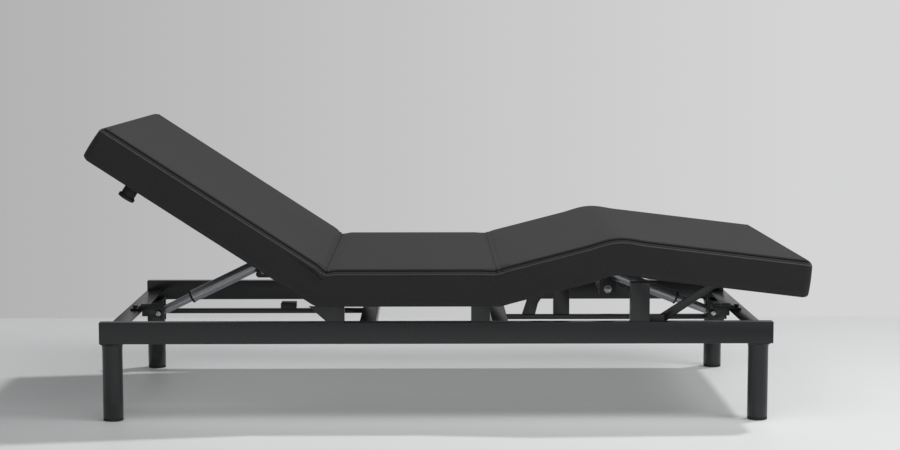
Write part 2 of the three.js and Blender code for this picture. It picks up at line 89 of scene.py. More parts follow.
def hinge_point(name):
    """A joint's place, in metres."""
    return np.array(JOINTS[name]["pos_m"], float)


HEAD_HINGE = hinge_point("head_tilt")
THIGH_HINGE = hinge_point("thigh_tilt")
KNEE_HINGE = hinge_point("foot_fold")
HEAD_UP = -math.radians(JOINTS["head_tilt"]["range_deg"][0])
THIGH_UP = -math.radians(JOINTS["thigh_tilt"]["range_deg"][0])
KNEE_FOLD_RATIO = 1.4759  # how far foot_fold turns for each degree of thigh_tilt
KNEE_FOLD = THIGH_UP * KNEE_FOLD_RATIO
HINGE_Z = HEAD_HINGE[2]
THIGH_LENGTH = float(np.linalg.norm(KNEE_HINGE - THIGH_HINGE))
HEAD_LENGTH = 716 * MM
FOOT_LENGTH = 517 * MM
HALF_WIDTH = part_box("seat_skirt_far")[1].y
FLAT_KNEE_X = THIGH_HINGE[0] + THIGH_LENGTH


# ------------------------------------------------------------------ settings
class BedCoverSettings(bpy.types.PropertyGroup):
    """The upholstery's sizes and colours."""

    face_hex: bpy.props.StringProperty(
        name="Yarn", description="Main yarn colour, sRGB hex", default="202021"
    )
    fleck_hex: bpy.props.StringProperty(
        name="Fleck", description="Lighter yarn colour, sRGB hex", default="303031"
    )
    thread_mm: bpy.props.FloatProperty(
        name="Thread spacing", description="Spacing of the weave's threads in millimetres",
        default=2.6, min=0.3, max=8,
    )
    corner: bpy.props.FloatProperty(
        name="Corner radius", description="Radius of the platform's corners in plan",
        default=22 * MM, min=5 * MM, max=60 * MM, subtype="DISTANCE", unit="LENGTH",
    )
    top_rise: bpy.props.FloatProperty(
        name="Top pad", description="Height of the top pad above the hinge line",
        default=53 * MM, min=48 * MM, max=60 * MM, subtype="DISTANCE", unit="LENGTH",
    )
    piping: bpy.props.FloatProperty(
        name="Piping radius", description="Radius of the piping round the side panel's top",
        default=2.1 * MM, min=0.5 * MM, max=5 * MM, subtype="DISTANCE", unit="LENGTH",
    )


class BedSteelSettings(bpy.types.PropertyGroup):
    """The frame's colours and edge rounding."""

    coat_hex: bpy.props.StringProperty(
        name="Powder coat", description="Powder coat colour, sRGB hex", default="1b1c1e"
    )
    tube_hex: bpy.props.StringProperty(
        name="Actuator tube", description="Satin tube colour, sRGB hex", default="b4b6ba"
    )
    edge: bpy.props.FloatProperty(
        name="Edge radius", description="Rounding of the formed steel's edges",
        default=2.2 * MM, min=0.2 * MM, max=6 * MM, subtype="DISTANCE", unit="LENGTH",
    )


class BedStageSettings(bpy.types.PropertyGroup):
    """The studio."""

    floor_hex: bpy.props.StringProperty(
        name="Floor", description="Floor colour, sRGB hex", default="e6e7e7"
    )
    backdrop_right_hex: bpy.props.StringProperty(
        name="Backdrop right", description="Backdrop colour at the right, sRGB hex",
        default="d5d5d6",
    )
    backdrop_left_hex: bpy.props.StringProperty(
        name="Backdrop left", description="Backdrop colour at the left, sRGB hex",
        default="b0b0b1",
    )
    studio_hex: bpy.props.StringProperty(
        name="Studio", description="Colour of the rest of the studio, sRGB hex",
        default="737475",
    )
    floor_edge: bpy.props.FloatProperty(
        name="Floor edge",
        description="Distance from the base's middle back to the floor's edge",
        default=1.45, min=0.6, max=6, subtype="DISTANCE", unit="LENGTH",
    )


# ------------------------------------------------------------------ meshes
def mesh_piece(name, points, faces, uv=None, smooth=True):
    """A mesh object at the origin from an N x 3 array and faces, which are an array of quads or
    a list of faces; uv is one pair per point."""
    mesh = bpy.data.meshes.new(name)
    faces = faces if isinstance(faces, list) else faces.tolist()
    mesh.from_pydata(np.asarray(points, float).tolist(), [], faces)
    if uv is not None:
        layer = mesh.uv_layers.new(name="UVMap")
        loops = np.zeros(len(mesh.loops), np.int32)
        mesh.loops.foreach_get("vertex_index", loops)
        layer.data.foreach_set("uv", np.asarray(uv, np.float32)[loops].ravel())
    mesh.polygons.foreach_set("use_smooth", np.full(len(mesh.polygons), smooth))
    piece = bpy.data.objects.new(name, mesh)
    bpy.context.scene.collection.objects.link(piece)
    return piece


def grid_faces(rows, columns, wrap_rows=False, wrap_columns=False, start=0):
    """Quads of a rows x columns grid of points, numbered row by row from start."""
    j = np.arange(rows if wrap_rows else rows - 1)
    i = np.arange(columns if wrap_columns else columns - 1)
    jj, ii = np.meshgrid(j, i, indexing="ij")
    j2, i2 = (jj + 1) % rows, (ii + 1) % columns
    quads = np.stack([jj * columns + ii, jj * columns + i2, j2 * columns + i2, j2 * columns + ii], -1)
    return quads.reshape(-1, 4) + start


def capped_faces(rows, sides):
    """The faces of a solid run of rings: quads from ring to ring, and a cap on each end."""
    last = (rows - 1) * sides
    caps = [list(range(sides))[::-1], list(range(last, last + sides))]
    return grid_faces(rows, sides, wrap_columns=True).tolist() + caps


def cleaned(piece, merge=0.002 * MM):
    """Merges doubles, drops faces with no area and turns the faces out."""
    work = bmesh.new()
    work.from_mesh(piece.data)
    bmesh.ops.remove_doubles(work, verts=work.verts, dist=merge)
    bmesh.ops.dissolve_degenerate(work, edges=work.edges, dist=merge)
    bmesh.ops.recalc_face_normals(work, faces=work.faces)
    work.to_mesh(piece.data)
    work.free()
    piece.data.polygons.foreach_set("use_smooth", np.full(len(piece.data.polygons), True))
    return piece


def axis_frame(direction):
    """Three unit vectors: two across a direction, and the direction."""
    along = np.array(direction, float) / np.linalg.norm(direction)
    side = np.cross(along, (0.0, 1.0, 0.0))
    if np.linalg.norm(side) < 0.1:
        side = np.cross(along, (0.0, 0.0, 1.0))
    side /= np.linalg.norm(side)
    return side, np.cross(along, side), along


def turned(name, origin, direction, profile_mm, sides=48, spread=None):
    """A surface of revolution: each [radius, height] of the profile, in millimetres, swept round
    the axis through origin. spread(angle) scales the radius, as for a hexagon. Ends on the axis."""
    side, across, along = axis_frame(direction)
    radius, height = np.array(profile_mm, float).T * MM
    angle = np.linspace(0, 2 * math.pi, sides, endpoint=False)
    scale = np.ones(sides) if spread is None else spread(angle)
    ring = np.cos(angle)[:, None] * side + np.sin(angle)[:, None] * across
    points = (
        np.array(origin, float)
        + height[:, None, None] * along
        + radius[:, None, None] * scale[None, :, None] * ring[None]
    )
    around = np.broadcast_to(angle / (2 * math.pi), (len(radius), sides))
    travel = np.concatenate([[0], np.cumsum(np.hypot(np.diff(radius), np.diff(height)))])
    uv = np.stack([around * 2 * math.pi * radius.max(), np.repeat(travel[:, None], sides, 1)], -1)
    faces = grid_faces(len(radius), sides, wrap_columns=True)
    piece = mesh_piece(name, points.reshape(-1, 3), faces, uv.reshape(-1, 2))
    return cleaned(piece)


def hexagon(angle):
    """Radius of a hexagon, over its corners' radius, at each angle."""
    sixth = math.pi / 3
    return math.cos(sixth / 2) / np.cos((angle % sixth) - sixth / 2)


def hex_bolt(name, origin, direction, across_mm):
    """A hexagon head on a washer: both are profiles turned about the bolt, the head's radius
    following a hexagon, with a chamfered crown."""
    r = across_mm / 2 / math.cos(math.pi / 6)
    washer = turned(
        name + "_washer", origin, direction,
        [[0, 0], [r * 1.28, 0], [r * 1.32, 0.4], [r * 1.32, 1.2], [r * 1.26, 1.6], [0, 1.6]], 36,
    )
    head = turned(
        name, origin, direction,
        [[0, 1.5], [r, 1.5], [r, 5.6], [r * 0.93, 6.3], [r * 0.86, 6.6], [0, 6.6]],
        36, hexagon,
    )
    return joined(name, [head, washer])


def joined(name, parts):
    """Joins finished pieces into one object."""
    work = bmesh.new()
    for part in parts:
        work.from_mesh(part.data)
        bpy.data.objects.remove(part)
    mesh = bpy.data.meshes.new(name)
    work.to_mesh(mesh)
    work.free()
    mesh.polygons.foreach_set("use_smooth", np.full(len(mesh.polygons), True))
    mesh.set_sharp_from_angle(angle=math.radians(42))
    piece = bpy.data.objects.new(name, mesh)
    bpy.context.scene.collection.objects.link(piece)
    return piece


def bead_ring(sides):
    """Cosines and sines of a bead's ring of points, each as a column for every side."""
    angle = np.linspace(0, 2 * math.pi, sides, endpoint=False)
    return np.cos(angle)[None, :, None], np.sin(angle)[None, :, None]


def open_bead(name, path, radii, normals, sides=8):
    """A round bead along a path: circles of the given radii in the plane of each point's normal
    and its upright, where the upright is the path's own direction crossed with the normal."""
    up = np.cross(normals, np.gradient(path, axis=0))
    up /= np.linalg.norm(up, axis=1)[:, None]
    cosine, sine = bead_ring(sides)
    points = path[:, None] + radii[:, None, None] * (cosine * normals[:, None] + sine * up[:, None])
    return cleaned(mesh_piece(name, points.reshape(-1, 3), capped_faces(len(path), sides)))


def weld_bead(start, end, normal, radius, pitch=3.2 * MM):
    """A fillet weld: a bead from start to end whose radius swells once every pitch, by the size
    of a sine, and tapers at both ends."""
    start, end = np.array(start, float), np.array(end, float)
    length = float(np.linalg.norm(end - start))
    steps = max(8, int(length / pitch * 4))
    t = np.linspace(0, 1, steps)
    path = start + t[:, None] * (end - start)
    ripple = 1 + 0.22 * np.abs(np.sin(t * length / pitch * math.pi))
    taper = np.clip(np.minimum(t, 1 - t) * length / radius, 0.25, 1) ** 0.5
    normals = np.broadcast_to(np.array(normal, float), path.shape)
    return open_bead("weld_bead", path, radius * ripple * taper, normals)


def softened(node, suffix, width, segments=2):
    """A copy of a CAD node with merged corners and rounded edges, which stands for the node."""
    source = frame["nodes"][node]
    work = bmesh.new()
    work.from_mesh(source.data)
    bmesh.ops.remove_doubles(work, verts=work.verts, dist=0.01 * MM)
    flat = math.radians(0.6)
    bmesh.ops.dissolve_limit(work, angle_limit=flat, verts=work.verts, edges=work.edges)
    mesh = bpy.data.meshes.new(f"{node}_{suffix}")
    work.to_mesh(mesh)
    work.free()
    mesh.polygons.foreach_set("use_smooth", np.full(len(mesh.polygons), True))
    piece = bpy.data.objects.new(f"{node}_{suffix}", mesh)
    bpy.context.scene.collection.objects.link(piece)
    bevel = piece.modifiers.new("rounded_edges", "BEVEL")
    bevel.width = width
    bevel.segments = segments
    bevel.limit_method = "ANGLE"
    bevel.angle_limit = math.radians(40)
    bevel.harden_normals = True
    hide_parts(node)
    return piece


def finish_piece(piece, body, material):
    """Gives a piece its material and the body that it rides on."""
    piece.data.materials.clear()
    piece.data.materials.append(material)
    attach(piece, body)
    return piece


# ------------------------------------------------------------------ materials
def linear(hex_colour):
    """An sRGB hex colour as linear RGBA."""
    srgb = [int(hex_colour[i : i + 2], 16) / 255 for i in (0, 2, 4)]
    return [c / 12.92 if c <= 0.04045 else ((c + 0.055) / 1.055) ** 2.4 for c in srgb] + [1.0]


def add(tree, kind, sockets=None, **settings):
    """Adds a node: settings are its properties, sockets its inputs' values or the outputs that
    feed them."""
    made = tree.nodes.new(kind)
    for key, value in settings.items():
        setattr(made, key, value)
    for key, value in (sockets or {}).items():
        if isinstance(value, bpy.types.NodeSocket):
            tree.links.new(value, made.inputs[key])
        else:
            made.inputs[key].default_value = value
    return made


def new_material(name):
    """The material of a name and its empty node tree. The tree is None where the material has
    been made before."""
    material = bpy.data.materials.get(name)
    if material:
        return material, None
    material = bpy.data.materials.new(name)
    material.use_nodes = True
    material.node_tree.nodes.clear()
    return material, material.node_tree


def per_metre(feature_mm):
    """A texture scale whose features are that many millimetres apart."""
    return 1000 / feature_mm


def woven_upholstery():
    """Polyester upholstery, plain woven from charcoal yarns with a lighter fleck and foam backed:
    matt, with a soft sheen at grazing angles. The real threads are 0.6 mm apart, too fine to
    show, so they are drawn coarser."""
    material, tree = new_material("woven_polyester_upholstery")
    if tree is None:
        return material
    cover = bpy.context.scene.bed_cover
    uv = add(tree, "ShaderNodeUVMap", uv_map="UVMap").outputs["UV"]
    place = add(tree, "ShaderNodeTexCoord").outputs["Object"]
    # a wave's bands lie 0.31 of its scale's spacing apart, which puts the ridges 1.6 mm apart
    ridges = {"Vector": uv, "Scale": per_metre(2 * cover.thread_mm)}
    warp = add(tree, "ShaderNodeTexWave", ridges, bands_direction="X").outputs["Fac"]
    weft = add(tree, "ShaderNodeTexWave", ridges, bands_direction="Y").outputs["Fac"]
    over = add(
        tree, "ShaderNodeTexChecker", {"Vector": uv, "Scale": per_metre(cover.thread_mm)},
    ).outputs["Fac"]
    weave = add(tree, "ShaderNodeMix", {"Factor": over, "A": warp, "B": weft}).outputs["Result"]
    fleck = add(tree, "ShaderNodeTexNoise", {
        "Vector": uv, "Scale": per_metre(3.5), "Detail": 2.0, "Roughness": 0.7,
    }).outputs["Fac"]
    cloud = add(tree, "ShaderNodeTexNoise", {
        "Vector": place, "Scale": per_metre(90), "Detail": 3.0,
    }).outputs["Fac"]
    spots = add(tree, "ShaderNodeMapRange", {
        "Value": fleck, "From Min": 0.45, "From Max": 0.8,
    }).outputs["Result"]
    yarn = add(tree, "ShaderNodeMix", {
        "Factor": spots, "A": linear(cover.face_hex), "B": linear(cover.fleck_hex),
    }, data_type="RGBA").outputs["Result"]
    shade = add(tree, "ShaderNodeMapRange", {
        "Value": cloud, "To Min": 0.86, "To Max": 1.12,
    }).outputs["Result"]
    colour = add(tree, "ShaderNodeHueSaturation", {"Color": yarn, "Value": shade}).outputs["Color"]
    rough = add(tree, "ShaderNodeMapRange", {
        "Value": weave, "To Min": 0.92, "To Max": 0.78,
    }).outputs["Result"]
    bump = add(tree, "ShaderNodeBump", {
        "Height": weave, "Strength": 0.2, "Distance": 0.5 * MM,
    }).outputs["Normal"]
    soft = add(tree, "ShaderNodeBump", {
        "Height": cloud, "Strength": 0.25, "Distance": 4 * MM, "Normal": bump,
    }).outputs["Normal"]
    shader = add(tree, "ShaderNodeBsdfPrincipled", {
        "Base Color": colour, "Roughness": rough, "Normal": soft,
        "Sheen Weight": 0.06, "Sheen Roughness": 0.45, "IOR": 1.45,
    }).outputs["BSDF"]
    add(tree, "ShaderNodeOutputMaterial", {"Surface": shader})
    return material


def bias_cut_piping():
    """Piping: a cord wrapped in the same cloth, cut on the bias, so it is a little smoother. Its yarn
    colours are drawn lighter than the cover's, a painted highlight for the shoulder's line of light."""
    material, tree = new_material("bias_cut_piping")
    if tree is None:
        return material
    place = add(tree, "ShaderNodeTexCoord").outputs["Object"]
    grain = add(tree, "ShaderNodeTexNoise", {
        "Vector": place, "Scale": per_metre(2.5), "Detail": 2.0,
    }).outputs["Fac"]
    # painted highlight: both yarn colours are lighter than the cover's to stand for the shoulder's
    # line of light; the grain's spread of tone is the cloth's own
    colour = add(tree, "ShaderNodeMix", {
        "Factor": grain, "A": linear("29292a"), "B": linear("434344"),
    }, data_type="RGBA").outputs["Result"]
    bump = add(tree, "ShaderNodeBump", {
        "Height": grain, "Strength": 0.3, "Distance": 0.4 * MM,
    }).outputs["Normal"]
    shader = add(tree, "ShaderNodeBsdfPrincipled", {
        "Base Color": colour, "Roughness": 0.62, "Normal": bump,
        "Sheen Weight": 0.2, "IOR": 1.45,
    }).outputs["BSDF"]
    add(tree, "ShaderNodeOutputMaterial", {"Surface": shader})
    return material


def powder_coat():
    """Powder coated mild steel: a baked polyester film, satin, with a faint orange peel about
    2 mm across, drawn at 3 mm."""
    material, tree = new_material("satin_black_powder_coat")
    if tree is None:
        return material
    steel = bpy.context.scene.bed_steel
    place = add(tree, "ShaderNodeTexCoord").outputs["Object"]
    peel = add(tree, "ShaderNodeTexNoise", {
        "Vector": place, "Scale": per_metre(3), "Detail": 2.0, "Roughness": 0.6,
    }).outputs["Fac"]
    patch = add(tree, "ShaderNodeTexNoise", {
        "Vector": place, "Scale": per_metre(120), "Detail": 4.0,
    }).outputs["Fac"]
    colour = add(tree, "ShaderNodeMix", {
        "Factor": patch, "A": linear(steel.coat_hex), "B": linear("212224"),
    }, data_type="RGBA").outputs["Result"]
    rough = add(tree, "ShaderNodeMapRange", {
        "Value": patch, "To Min": 0.24, "To Max": 0.34,
    }).outputs["Result"]
    bump = add(tree, "ShaderNodeBump", {
        "Height": peel, "Strength": 0.12, "Distance": 0.4 * MM,
    }).outputs["Normal"]
    shader = add(tree, "ShaderNodeBsdfPrincipled", {
        "Base Color": colour, "Roughness": rough, "Normal": bump, "IOR": 1.5,
    }).outputs["BSDF"]
    add(tree, "ShaderNodeOutputMaterial", {"Surface": shader})
    return material


def satin_tube():
    """Actuator tube: drawn aluminium with a grey anodised, bead blasted finish. Draw lines along
    the tube, a millimetre or two apart, stretch its highlight."""
    material, tree = new_material("grey_anodised_drawn_tube")
    if tree is None:
        return material
    steel = bpy.context.scene.bed_steel
    uv = add(tree, "ShaderNodeUVMap", uv_map="UVMap").outputs["UV"]
    drawn = add(tree, "ShaderNodeMapping", {
        "Vector": uv, "Scale": (per_metre(1.2), per_metre(60), 1.0),
    }).outputs["Vector"]
    lines = add(tree, "ShaderNodeTexNoise", {
        "Vector": drawn, "Scale": 1.0, "Detail": 2.0,
    }).outputs["Fac"]
    colour = add(tree, "ShaderNodeMix", {
        "Factor": lines, "A": linear("999b9f"), "B": linear(steel.tube_hex),
    }, data_type="RGBA").outputs["Result"]
    rough = add(tree, "ShaderNodeMapRange", {
        "Value": lines, "To Min": 0.24, "To Max": 0.34,
    }).outputs["Result"]
    bump = add(tree, "ShaderNodeBump", {
        "Height": lines, "Strength": 0.08, "Distance": 0.2 * MM,
    }).outputs["Normal"]
    shader = add(tree, "ShaderNodeBsdfPrincipled", {
        "Base Color": colour, "Roughness": rough, "Normal": bump, "Metallic": 0.8,
    }).outputs["BSDF"]
    add(tree, "ShaderNodeOutputMaterial", {"Surface": shader})
    return material


def zinc_plate():
    """Bright zinc plated steel: pins, bolts and hinge rods, with a faint spangle."""
    material, tree = new_material("bright_zinc_plate")
    if tree is None:
        return material
    place = add(tree, "ShaderNodeTexCoord").outputs["Object"]
    spangle = add(tree, "ShaderNodeTexNoise", {
        "Vector": place, "Scale": per_metre(4), "Detail": 3.0,
    }).outputs["Fac"]
    colour = add(tree, "ShaderNodeMix", {
        "Factor": spangle, "A": linear("a9acaf"), "B": linear("cfd1d3"),
    }, data_type="RGBA").outputs["Result"]
    rough = add(tree, "ShaderNodeMapRange", {
        "Value": spangle, "To Min": 0.22, "To Max": 0.4,
    }).outputs["Result"]
    shader = add(tree, "ShaderNodeBsdfPrincipled", {
        "Base Color": colour, "Roughness": rough, "Metallic": 1.0,
    }).outputs["BSDF"]
    add(tree, "ShaderNodeOutputMaterial", {"Surface": shader})
    return material


def moulded_abs():
    """Injection moulded black ABS with a fine spark eroded grain, 1 mm, drawn at 2 mm."""
    material, tree = new_material("black_moulded_abs")
    if tree is None:
        return material
    place = add(tree, "ShaderNodeTexCoord").outputs["Object"]
    grain = add(tree, "ShaderNodeTexNoise", {
        "Vector": place, "Scale": per_metre(2), "Detail": 3.0, "Roughness": 0.7,
    }).outputs["Fac"]
    colour = add(tree, "ShaderNodeMix", {
        "Factor": grain, "A": linear("161617"), "B": linear("1f1f21"),
    }, data_type="RGBA").outputs["Result"]
    bump = add(tree, "ShaderNodeBump", {
        "Height": grain, "Strength": 0.3, "Distance": 0.3 * MM,
    }).outputs["Normal"]
    shader = add(tree, "ShaderNodeBsdfPrincipled", {
        "Base Color": colour, "Roughness": 0.5, "Normal": bump, "IOR": 1.52,
    }).outputs["BSDF"]
    add(tree, "ShaderNodeOutputMaterial", {"Surface": shader})
    return material


def moulded_rubber():
    """Moulded black rubber: matt, slightly dusty, the dust in specks 12 mm apart."""
    material, tree = new_material("black_moulded_rubber")
    if tree is None:
        return material
    place = add(tree, "ShaderNodeTexCoord").outputs["Object"]
    dust = add(tree, "ShaderNodeTexNoise", {
        "Vector": place, "Scale": per_metre(12), "Detail": 4.0,
    }).outputs["Fac"]
    colour = add(tree, "ShaderNodeMix", {
        "Factor": dust, "A": linear("141415"), "B": linear("242425"),
    }, data_type="RGBA").outputs["Result"]
    bump = add(tree, "ShaderNodeBump", {
        "Height": dust, "Strength": 0.15, "Distance": 0.4 * MM,
    }).outputs["Normal"]
    shader = add(tree, "ShaderNodeBsdfPrincipled", {
        "Base Color": colour, "Roughness": 0.72, "Normal": bump, "IOR": 1.52,
    }).outputs["BSDF"]
    add(tree, "ShaderNodeOutputMaterial", {"Surface": shader})
    return material


def plywood():
    """Poplar plywood, stained dark grey and uncoated: grain stretched half a metre along the bed,
    veneer lines 12 mm apart."""
    material, tree = new_material("dark_stained_poplar_plywood")
    if tree is None:
        return material
    place = add(tree, "ShaderNodeTexCoord").outputs["Object"]
    along = add(tree, "ShaderNodeMapping", {
        "Vector": place, "Scale": (per_metre(500), per_metre(12), per_metre(12)),
    }).outputs["Vector"]
    grain = add(tree, "ShaderNodeTexNoise", {
        "Vector": along, "Scale": 1.0, "Detail": 5.0, "Distortion": 0.6,
    }).outputs["Fac"]
    colour = add(tree, "ShaderNodeMix", {
        "Factor": grain, "A": linear("2f2d2b"), "B": linear("484542"),
    }, data_type="RGBA").outputs["Result"]
    bump = add(tree, "ShaderNodeBump", {
        "Height": grain, "Strength": 0.15, "Distance": 0.5 * MM,
    }).outputs["Normal"]
    shader = add(tree, "ShaderNodeBsdfPrincipled", {
        "Base Color": colour, "Roughness": 0.7, "Normal": bump,
    }).outputs["BSDF"]
    add(tree, "ShaderNodeOutputMaterial", {"Surface": shader})
    return material


def floor_paint(hex_colour):
    """Matt studio floor paint with a faint unevenness, a stride or so long."""
    material, tree = new_material("studio_floor_paint")
    if tree is None:
        return material
    place = add(tree, "ShaderNodeTexCoord").outputs["Object"]
    cloud = add(tree, "ShaderNodeTexNoise", {
        "Vector": place, "Scale": 1.2, "Detail": 2.0,
    }).outputs["Fac"]
    shade = add(tree, "ShaderNodeMapRange", {
        "Value": cloud, "To Min": 0.985, "To Max": 1.015,
    }).outputs["Result"]
    colour = add(tree, "ShaderNodeHueSaturation", {
        "Color": linear(hex_colour), "Value": shade,
    }).outputs["Color"]
    shader = add(tree, "ShaderNodeBsdfPrincipled", {
        "Base Color": colour, "Roughness": 0.55,
    }).outputs["BSDF"]
    add(tree, "ShaderNodeOutputMaterial", {"Surface": shader})
    return material


def studio_world(settings):
    """The studio's surroundings: a pale backdrop low down behind the base, paler towards the
    right, and dimmer everywhere else. It is worked out from each direction alone."""
    world = bpy.data.worlds.new("studio")
    world.use_nodes = True
    tree = world.node_tree
    tree.nodes.clear()
    towards = add(tree, "ShaderNodeTexCoord").outputs["Generated"]
    axes = add(tree, "ShaderNodeSeparateXYZ", {"Vector": towards}).outputs
    behind = add(tree, "ShaderNodeMapRange", {
        "Value": axes["Y"], "From Min": 0.6, "From Max": 0.85,
    }).outputs["Result"]
    low = add(tree, "ShaderNodeMapRange", {
        "Value": axes["Z"], "From Min": 0.55, "From Max": 0.2,
    }).outputs["Result"]
    backdrop = add(
        tree, "ShaderNodeMath", {0: behind, 1: low}, operation="MULTIPLY",
    ).outputs["Value"]
    rightwards = add(tree, "ShaderNodeMapRange", {
        "Value": axes["X"], "From Min": -0.25, "From Max": 0.2,
    }).outputs["Result"]
    pale = add(tree, "ShaderNodeMix", {
        "Factor": rightwards,
        "A": linear(settings.backdrop_left_hex), "B": linear(settings.backdrop_right_hex),
    }, data_type="RGBA").outputs["Result"]
    colour = add(tree, "ShaderNodeMix", {
        "Factor": backdrop, "A": linear(settings.studio_hex), "B": pale,
    }, data_type="RGBA").outputs["Result"]
    shine = add(tree, "ShaderNodeBackground", {"Color": colour}).outputs["Background"]
    add(tree, "ShaderNodeOutputWorld", {"Surface": shine})
    return world


# ------------------------------------------------------------------ the deck's cover
ROW_STEP = 24 * MM  # between the cover's cross rows, away from its hinge
CUT_ROW = 0.4 * MM  # the last row before a cut, which keeps the shading even across it
HINGE_ROWS_MM = (0, 2, 4, 6, 8, 10, 12.5, 15, 18, 21, 25, 30, 36, 43, 51, 60, 72, 86)
HINGE_ROWS_REACH = 98 * MM
CORNER_STEPS = 9  # stations round a corner, with both of its ends
CROSS_STATIONS = 42  # stations along the platform's end
SKIN_INSET = 20 * MM  # the cover's outer skin is nearer the outline than this
PIPING_INSET, PIPING_HEIGHT = 2.6 * MM, 38.6 * MM
PIPING_SIDES = 10
HALVINGS = 44  # of the range of weights, which takes them past the last digit that counts


def smoothstep(t):
    """0 up to t = 0 and 1 from t = 1, joined by 3 t squared less 2 t cubed."""
    t = np.clip(t, 0, 1)
    return t * t * (3 - 2 * t)


def bell(s, centre, width):
    """A bell curve of height 1 at the centre: e to the minus (distance over width) squared."""
    return np.exp(-(((s - centre) / width) ** 2))


def bent(flat, hinge_x, angle, side, half_zone):
    """Bends flat deck points about a hinge. A point turns by w times the angle, where w rises
    smoothly from 0 to 1 across a band 2 half_zones wide, measured where the point ends up, along
    the mean of the two sections' directions. So levelling the sections undoes it exactly. Each w
    is found by halving its range."""
    x = flat[:, 0] - hinge_x
    z = flat[:, 2] - HINGE_Z
    dx, dz = side * math.cos(angle / 2), -side * math.sin(angle / 2)

    def turn(w):
        c, s = np.cos(w * angle), np.sin(w * angle)
        return x * c + z * s, z * c - x * s

    low, high = np.zeros(len(x)), np.ones(len(x))
    for _ in range(HALVINGS):
        w = (low + high) / 2
        px, pz = turn(w)
        beyond = smoothstep(0.5 + (px * dx + pz * dz) / (2 * half_zone)) > w
        low, high = np.where(beyond, w, low), np.where(beyond, high, w)
    px, pz = turn((low + high) / 2)
    return np.stack([hinge_x + px, flat[:, 1], HINGE_Z + pz], -1)


def tilted(points, hinge, angle):
    """Turns points about a hinge rod by an angle about +Y."""
    c, s = math.cos(angle), math.sin(angle)
    x, z = points[:, 0] - hinge[0], points[:, 2] - hinge[2]
    return np.stack([hinge[0] + x * c + z * s, points[:, 1], hinge[2] + z * c - x * s], -1)


class Stretch:
    """One piece of the deck's cover: from one cut to another or to the platform's end, over one
    hinge. side is +1 where the far section lies towards +X, and end is -1 or 1 where the piece
    holds the platform's head or foot end. pinch_mm and gather_mm say how deep the cloth folds at
    the hinge and how far its slack stands out beside it."""

    def __init__(self, label, cuts, end, hinge_x, hinge, angle, side, half_zone, pinch_mm,
                 gather_mm, bodies, replaces):
        self.label, self.cuts, self.end = label, cuts, end
        self.hinge_x, self.hinge, self.angle, self.side = hinge_x, hinge, angle, side
        self.half_zone, self.pinch_mm, self.gather_mm = half_zone, pinch_mm, gather_mm
        self.bodies, self.replaces = bodies, replaces
        self.end_x = cuts[0] if end < 0 else cuts[1]

    def shaped(self, flat):
        """Flat deck points where they are at rest."""
        moved = bent(flat, self.hinge_x, self.angle, self.side, self.half_zone)
        if self.label == "foot":
            moved = tilted(moved, THIGH_HINGE, -THIGH_UP)
        return moved

    def blend(self, piece):
        """Bakes the piece's placement into its mesh."""
        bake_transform(piece)

    def past_hinge(self, points):
        """How far each flat point lies past the hinge, towards the far section, in millimetres."""
        return (points[:, 0] - self.hinge_x) / MM * self.side

    def rows(self):
        """X of the cover's cross rows: even ones, with closer ones at the hinge and the cuts."""
        corner = bpy.context.scene.bed_cover.corner
        low, high = self.cuts
        if self.end == -1:
            low += corner
        if self.end == 1:
            high -= corner
        even = np.arange(low, high, ROW_STEP)
        even = even[np.abs(even - self.hinge_x) > HINGE_ROWS_REACH][1:]
        steps = np.array(HINGE_ROWS_MM) * MM
        close = self.hinge_x + np.concatenate([-steps[:0:-1], steps])
        close = close[(close > low) & (close < high)]
        return np.unique(np.concatenate([[low, high, low + CUT_ROW, high - CUT_ROW], even, close]))


SEAT_MIDDLE = (HEAD_HINGE[0] + THIGH_HINGE[0]) / 2
THIGH_MIDDLE = THIGH_HINGE[0] + 0.42 * THIGH_LENGTH
STRETCHES = [
    Stretch("head", (HEAD_HINGE[0] - HEAD_LENGTH, SEAT_MIDDLE), -1, HEAD_HINGE[0], HEAD_HINGE,
            HEAD_UP, -1, 27 * MM, 7.0, 3.2, ("base_frame", "head_section"),
            ["head_skirt_near", "head_skirt_far", "head_skirt_end"]),
    Stretch("seat", (SEAT_MIDDLE, THIGH_MIDDLE), 0, THIGH_HINGE[0], THIGH_HINGE,
            -THIGH_UP, 1, 34 * MM, 3.2, 1.0, ("base_frame", "thigh_section"),
            ["seat_skirt_near", "seat_skirt_far", "thigh_skirt_near", "thigh_skirt_far"]),
    Stretch("foot", (THIGH_MIDDLE, FLAT_KNEE_X + FOOT_LENGTH), 1, FLAT_KNEE_X, KNEE_HINGE,
            KNEE_FOLD, 1, 80 * MM, 0, 0, ("thigh_section", "foot_section"),
            ["foot_skirt_near", "foot_skirt_far", "foot_skirt_end"]),
]


def rounded(centre, radius, start, stop, steps):
    """Points of an arc, from start to stop degrees."""
    a = np.radians(np.linspace(start, stop, steps))
    return np.stack([centre[0] + radius * np.cos(a), centre[1] + radius * np.sin(a)], -1)


